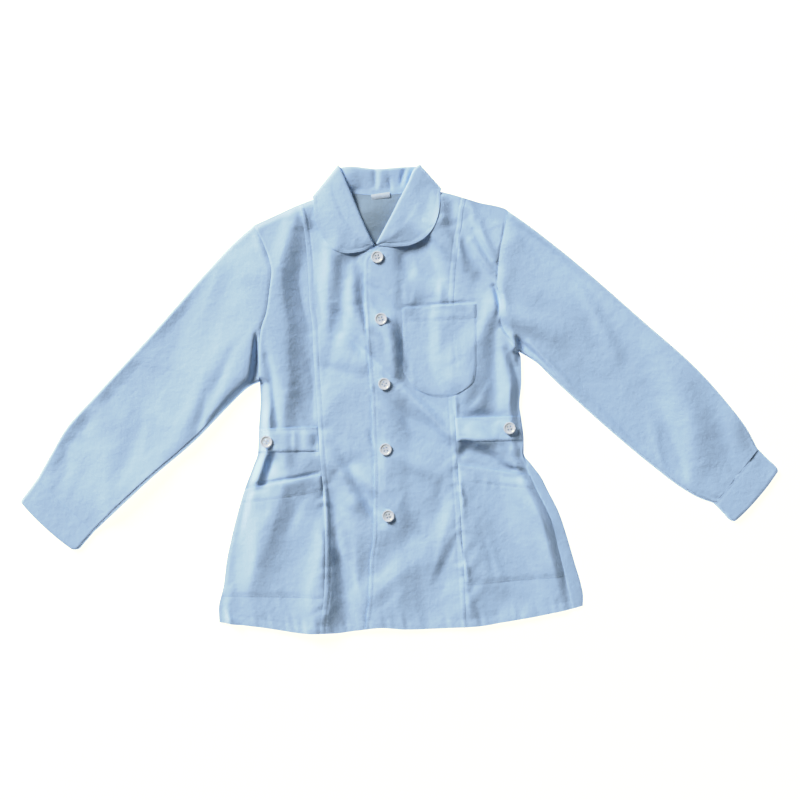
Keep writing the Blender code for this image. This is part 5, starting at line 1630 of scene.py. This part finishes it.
def body_rows(form):
    """Topstitching of the princess seams and the front edge."""
    lap = edge_line(LAP_OVER, "lap_over")
    lines = (edge_line(PRINCESS_RIGHT, "princess_right") + (form.topstitch, 0.0),
             edge_line(PRINCESS_LEFT, "princess_left") + (-form.topstitch, 0.0),
             lap[lap[:, 1] < 222.0] + (2.6, 0.0))
    return [on_cloth(form, line) for line in lines]


def inset_line(surface, gap, from_end=False):
    """A line of a grid at a distance from its first or last row."""
    rows = surface[::-1] if from_end else surface
    down = np.linalg.norm(rows[:1, :, :2] - rows[:, :, :2], axis=2)
    line = [[np.interp(gap, down[:, column], rows[:, column, axis]) for axis in range(3)]
            for column in range(rows.shape[1])]
    return np.array(line) + (0.0, 0.0, 0.05)


def round_line(surface, gap):
    """A line round the sides and bottom of a pocket, a gap inside its edge."""
    sides = []
    for outer, inner in ((0, 1), (-1, -2)):
        toward = surface[:, inner] - surface[:, outer]
        toward = toward / np.linalg.norm(toward, axis=1)[:, None]
        sides.append(surface[:, outer] + toward * gap)
    bottom = surface[0, 2:-2] + (0.0, gap, 0.0)
    return np.concatenate((sides[0][::-1][:-1], bottom, sides[1][1:])) + (0.0, 0.0, 0.12)


def patch_rows(form):
    """Stitching of the pockets and the tabs."""
    rows = []
    for side in ("right", "left"):
        pocket, tab = hip_surface(form, side), tab_surface(form, side)
        rows += [inset_line(pocket, POCKET_HEM, True), inset_line(pocket, 2.0)]
        rows += [inset_line(tab, 2.4, True), inset_line(tab, 2.4)]
    chest = chest_surface(form)
    return rows + [inset_line(chest, CHEST_HEM, True), round_line(chest, 2.2)]


def collar_rows(form):
    """Topstitching along the leaf, where it shows."""
    middle = np.moveaxis(collar_surface(form), 0, 1)
    line = inset_line(middle, COLLAR_STITCH, True) + (0.0, 0.0, form.wall / 2)
    shown = line[:, 2] > 5.0
    parts = np.split(line, np.flatnonzero(np.diff(shown)) + 1)
    return [part for part in parts if part[0, 2] > 5.0 and len(part) > 4]


# ---- Operators.

class JACKET_OT_back(bpy.types.Operator):
    """Lay the back"""
    bl_idname = "jacket.back"
    bl_label = "Back"

    def execute(self, context):
        colours = context.scene.jacket_colours
        # The inside material is the cloth drawn darker, as painted shade inside the neck.
        inside = poly_cotton("poly_cotton_painted_shade", colours.inside, colours.painted_shade_second_tone)
        build_back(in_mm(context), cloth_look(context), inside)
        return {"FINISHED"}


class JACKET_OT_fronts(bpy.types.Operator):
    """Lay the four front panels"""
    bl_idname = "jacket.fronts"
    bl_label = "Fronts"

    def execute(self, context):
        build_fronts(in_mm(context), cloth_look(context))
        return {"FINISHED"}


class JACKET_OT_sleeves(bpy.types.Operator):
    """Lay the sleeves and their cuffs"""
    bl_idname = "jacket.sleeves"
    bl_label = "Sleeves and cuffs"

    def execute(self, context):
        form, look = in_mm(context), cloth_look(context)
        for side in ("right", "left"):
            build_sleeve(form, look, side)
            build_cuff(form, look, side)
        return {"FINISHED"}


class JACKET_OT_collar(bpy.types.Operator):
    """Turn the collar down"""
    bl_idname = "jacket.collar"
    bl_label = "Collar"

    def execute(self, context):
        build_collar(in_mm(context), cloth_look(context))
        return {"FINISHED"}


class JACKET_OT_pockets(bpy.types.Operator):
    """Sew on the pockets and the waist tabs"""
    bl_idname = "jacket.pockets"
    bl_label = "Pockets and tabs"

    def execute(self, context):
        form, look = in_mm(context), cloth_look(context)
        build_chest_pocket(form, look)
        for side in ("right", "left"):
            build_hip_pocket(form, look, side)
            build_tab(form, look, side)
        return {"FINISHED"}


class JACKET_OT_stitching(bpy.types.Operator):
    """Topstitch the seams, pockets, tabs and collar"""
    bl_idname = "jacket.stitching"
    bl_label = "Stitching"

    def execute(self, context):
        form = in_mm(context)
        look = spun_thread("sewing_thread", context.scene.jacket_colours.thread)
        sew(form, "body_stitches", body_rows(form), look)
        sew(form, "patch_stitches", patch_rows(form), look)
        sew(form, "collar_stitches", collar_rows(form), look)
        return {"FINISHED"}


def only(item):
    """Make an object the one that is selected and active."""
    bpy.ops.object.select_all(action="DESELECT")
    item.select_set(True)
    bpy.context.view_layer.objects.active = item


def apply_modifier(item, kind, **settings):
    """Add a modifier, set it and apply it."""
    modifier = item.modifiers.new(kind.lower(), kind)
    for name, value in settings.items():
        setattr(modifier, name, value)
    only(item)
    bpy.ops.object.modifier_apply(modifier=modifier.name)


def add_cylinder(vertices, radius, depth, place):
    """A cylinder round a vertical axis."""
    bpy.ops.object.select_all(action="DESELECT")
    bpy.ops.mesh.primitive_cylinder_add(vertices=vertices, radius=radius, depth=depth,
                                        location=place)
    return bpy.context.object


def dish(button, radius, thick):
    """Sink the button's face inside its rim."""
    bpy.ops.object.mode_set(mode="EDIT")
    bpy.ops.mesh.select_mode(type="FACE")
    bpy.ops.mesh.select_all(action="DESELECT")
    bpy.ops.object.mode_set(mode="OBJECT")
    for polygon in button.data.polygons:
        polygon.select = polygon.normal.z > 0.9
    bpy.ops.object.mode_set(mode="EDIT")
    bpy.ops.mesh.inset(thickness=radius * 0.2, depth=0)
    bpy.ops.mesh.inset(thickness=radius * 0.12, depth=-thick * 0.3)
    bpy.ops.object.mode_set(mode="OBJECT")


def model_button(form):
    """Round four-hole button: rim, dish and holes, modelled once at the origin."""
    radius, thick = form.button_radius * MM, form.button_thick * MM
    button = add_cylinder(48, radius, thick, (0, 0, thick / 2))
    bpy.ops.object.transform_apply(location=True, rotation=True, scale=True)
    dish(button, radius, thick)
    spread = radius * HOLE_SPREAD
    for x, y in ((spread, spread), (-spread, spread), (-spread, -spread), (spread, -spread)):
        hole = add_cylinder(16, radius * 0.115, thick * 3, (x, y, thick / 2))
        apply_modifier(button, "BOOLEAN", operation="DIFFERENCE", object=hole, solver="EXACT")
        bpy.data.objects.remove(hole, do_unlink=True)
    apply_modifier(button, "BEVEL", width=0.00035, segments=3, limit_method="ANGLE",
                   angle_limit=0.6)
    bpy.ops.object.shade_smooth_by_angle(angle=math.radians(40))
    return button


def button_seat(form, name, x, y):
    """Height at which a button rests on the cloth round its place."""
    if name.startswith("tab"):
        tab = tab_surface(form, name.rsplit("_", 1)[1])
        near = np.hypot(tab[..., 0] - x, tab[..., 1] - y) < 9.5
        return float(np.percentile(tab[near][:, 2], 85)) + 0.2
    aside, up = np.meshgrid((-8.0, 0.0, 8.0), (-8.0, 0.0, 8.0))
    return float(np.percentile(lapped_top(form, x + aside.ravel(), y + up.ravel()), 70)) + 0.15


def place_button(pattern, name, place, spin):
    """A copy of the button, turned and set in its place."""
    piece = bpy.data.objects.new(name + "_resin", pattern.data.copy())
    bpy.context.scene.collection.objects.link(piece)
    points = np.array([vertex.co for vertex in piece.data.vertices])
    points[:, :2] = points[:, :2] @ spin
    points = points + (place + SHIFT) * MM
    piece.data.vertices.foreach_set("co", points.astype(np.float32).ravel())
    piece.data.update()
    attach(piece, "root")
    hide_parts(name)


def button_thread(form, place, spin):
    """Two bars of thread across the holes, as rows of points."""
    spread = form.button_radius * HOLE_SPREAD
    rise = place[2] + form.button_thick * 0.7 + np.array((-0.3, 0.25, 0.25, -0.3))
    along = np.array((-spread * 1.35, -spread * 0.5, spread * 0.5, spread * 1.35))
    return [np.column_stack((np.column_stack((along, np.full(4, side))) @ spin + place[:2], rise))
            for side in (-spread, spread)]


class JACKET_OT_buttons(bpy.types.Operator):
    """Sew on the seven buttons"""
    bl_idname = "jacket.buttons"
    bl_label = "Buttons"

    def execute(self, context):
        form, colours = in_mm(context), context.scene.jacket_colours
        pattern = model_button(form)
        pattern.data.materials.append(pressed_resin("pearl_resin", colours.button))
        threads = []
        for number, (name, x, y) in enumerate(BUTTONS):
            place = np.array((x, y, button_seat(form, name, x, y)))
            turn = 0.5 * math.sin(2.1 * number + 0.4)
            spin = np.array(((math.cos(turn), math.sin(turn)), (-math.sin(turn), math.cos(turn))))
            place_button(pattern, name, place, spin)
            threads += button_thread(form, place, spin)
        bpy.data.objects.remove(pattern, do_unlink=True)
        sew(form, "button_threads", threads, spun_thread("sewing_thread", colours.thread))
        return {"FINISHED"}


class JACKET_OT_label(bpy.types.Operator):
    """Fold the small bare label over the back neck seam"""
    bl_idname = "jacket.label"
    bl_label = "Label"

    def execute(self, context):
        form = in_mm(context)
        look = spun_thread("woven_tape", context.scene.jacket_colours.label)
        turn = math.radians(LABEL["turn"])
        along = np.linspace(-0.5, 0.5, 29) * LABEL["length"]
        across = np.linspace(-0.5, 0.5, 11) * LABEL["width"]
        dx, dy = np.meshgrid(along, across)
        x = LABEL["x"] + dx * math.cos(turn) - dy * math.sin(turn)
        y = LABEL["y"] + dx * math.sin(turn) + dy * math.cos(turn)
        belly = np.cos(math.pi * dy / LABEL["width"]) * 0.9
        z = 2 * form.layer + 1.3 + belly + 0.2 * ripple(dx, 5.0, 95)
        surface = np.stack((x, y, z), axis=-1)
        piece = make_cloth("label_tape", surface, 0.5)
        finish_cloth(piece, "size_label", surface, look,
                     turned_in=2.5)
        return {"FINISHED"}


def hang_light(light):
    """A soft box that looks at the middle of the jacket."""
    lamp = bpy.data.lights.new(light["name"], "AREA")
    lamp.energy, lamp.size, lamp.color = light["power"], light["size"], light["colour"]
    holder = bpy.data.objects.new(light["name"], lamp)
    round_, up = math.radians(light["azimuth"]), math.radians(light["elevation"])
    toward = Vector((math.cos(round_) * math.cos(up), math.sin(round_) * math.cos(up),
                     math.sin(up)))
    holder.location = toward * light["distance"]
    holder.rotation_euler = toward.to_track_quat("Z", "Y").to_euler()
    return holder


def develop(view):
    """Show the picture through the film's curves."""
    view.view_transform = "Standard"
    view.use_curve_mapping = True
    mapping = view.curve_mapping
    mapping.clip_max_x = FILM_CURVE[-1][0]
    whole = mapping.curves[3].points
    whole[0].location, whole[1].location = FILM_CURVE[0], FILM_CURVE[-1]
    for number, curve in ((3, FILM_CURVE[1:-1]), (0, RED_CURVE), (2, BLUE_CURVE)):
        for x, y in curve:
            mapping.curves[number].points.new(x, y)
    mapping.update()


def add_floor(colour):
    """A board under the jacket, just below it."""
    bpy.ops.object.select_all(action="DESELECT")
    bpy.ops.mesh.primitive_plane_add(size=8.0, location=(0, 0, -0.0003))
    floor = bpy.context.object
    floor.name = "floor"
    floor.data.materials.append(painted_board("painted_board", colour))


def add_world(scene):
    """Faint even light from the room."""
    world = bpy.data.worlds.new("soft_room")
    world.use_nodes = True
    room = world.node_tree.nodes["Background"]
    room.inputs[0].default_value, room.inputs[1].default_value = (0.97, 0.985, 1.0, 1.0), 0.07
    scene.world = world


def add_camera(scene):
    """A camera straight above the middle of the picture, which shows 1.2 m."""
    camera = bpy.data.objects.new("camera", bpy.data.cameras.new("camera"))
    camera.data.lens, camera.data.sensor_width, camera.data.clip_start = LENS, SENSOR, 0.05
    camera.location = (SHIFT[0] * MM, SHIFT[1] * MM, PICTURE_WIDTH * LENS / SENSOR)
    scene.collection.objects.link(camera)
    scene.camera = camera


class JACKET_OT_stage(bpy.types.Operator):
    """Put the jacket on a pale floor, with soft light and a camera straight above"""
    bl_idname = "jacket.stage"
    bl_label = "Stage"

    def execute(self, context):
        scene = context.scene
        add_floor(scene.jacket_colours.floor)
        add_world(scene)
        for row in LIGHTS:
            scene.collection.objects.link(hang_light(named(LIGHT, row)))
        add_camera(scene)
        develop(scene.view_settings)
        return {"FINISHED"}


class JACKET_PT_panel(bpy.types.Panel):
    """Lists the jacket's pieces"""
    bl_idname = "JACKET_PT_panel"
    bl_label = "Jacket"
    bl_space_type = "VIEW_3D"
    bl_region_type = "UI"
    bl_category = "Jacket"

    def draw(self, context):
        for step in STEPS:
            self.layout.operator(step.bl_idname)
        for group in (context.scene.jacket_form, context.scene.jacket_colours):
            for name in group.__annotations__:
                self.layout.prop(group, name)


STEPS = (JACKET_OT_back, JACKET_OT_fronts, JACKET_OT_sleeves, JACKET_OT_collar, JACKET_OT_pockets,
         JACKET_OT_buttons, JACKET_OT_label, JACKET_OT_stitching, JACKET_OT_stage)
CLASSES = (JacketForm, JacketColours) + STEPS + (JACKET_PT_panel,)


def register():
    for item in CLASSES:
        bpy.utils.register_class(item)
    bpy.types.Scene.jacket_form = PointerProperty(type=JacketForm)
    bpy.types.Scene.jacket_colours = PointerProperty(type=JacketColours)


def unregister():
    del bpy.types.Scene.jacket_colours
    del bpy.types.Scene.jacket_form
    for item in reversed(CLASSES):
        bpy.utils.unregister_class(item)


def main():
    register()
    for step in STEPS:
        group, name = step.bl_idname.split(".")
        getattr(getattr(bpy.ops, group), name)()


if __name__ == "__main__":
    main()
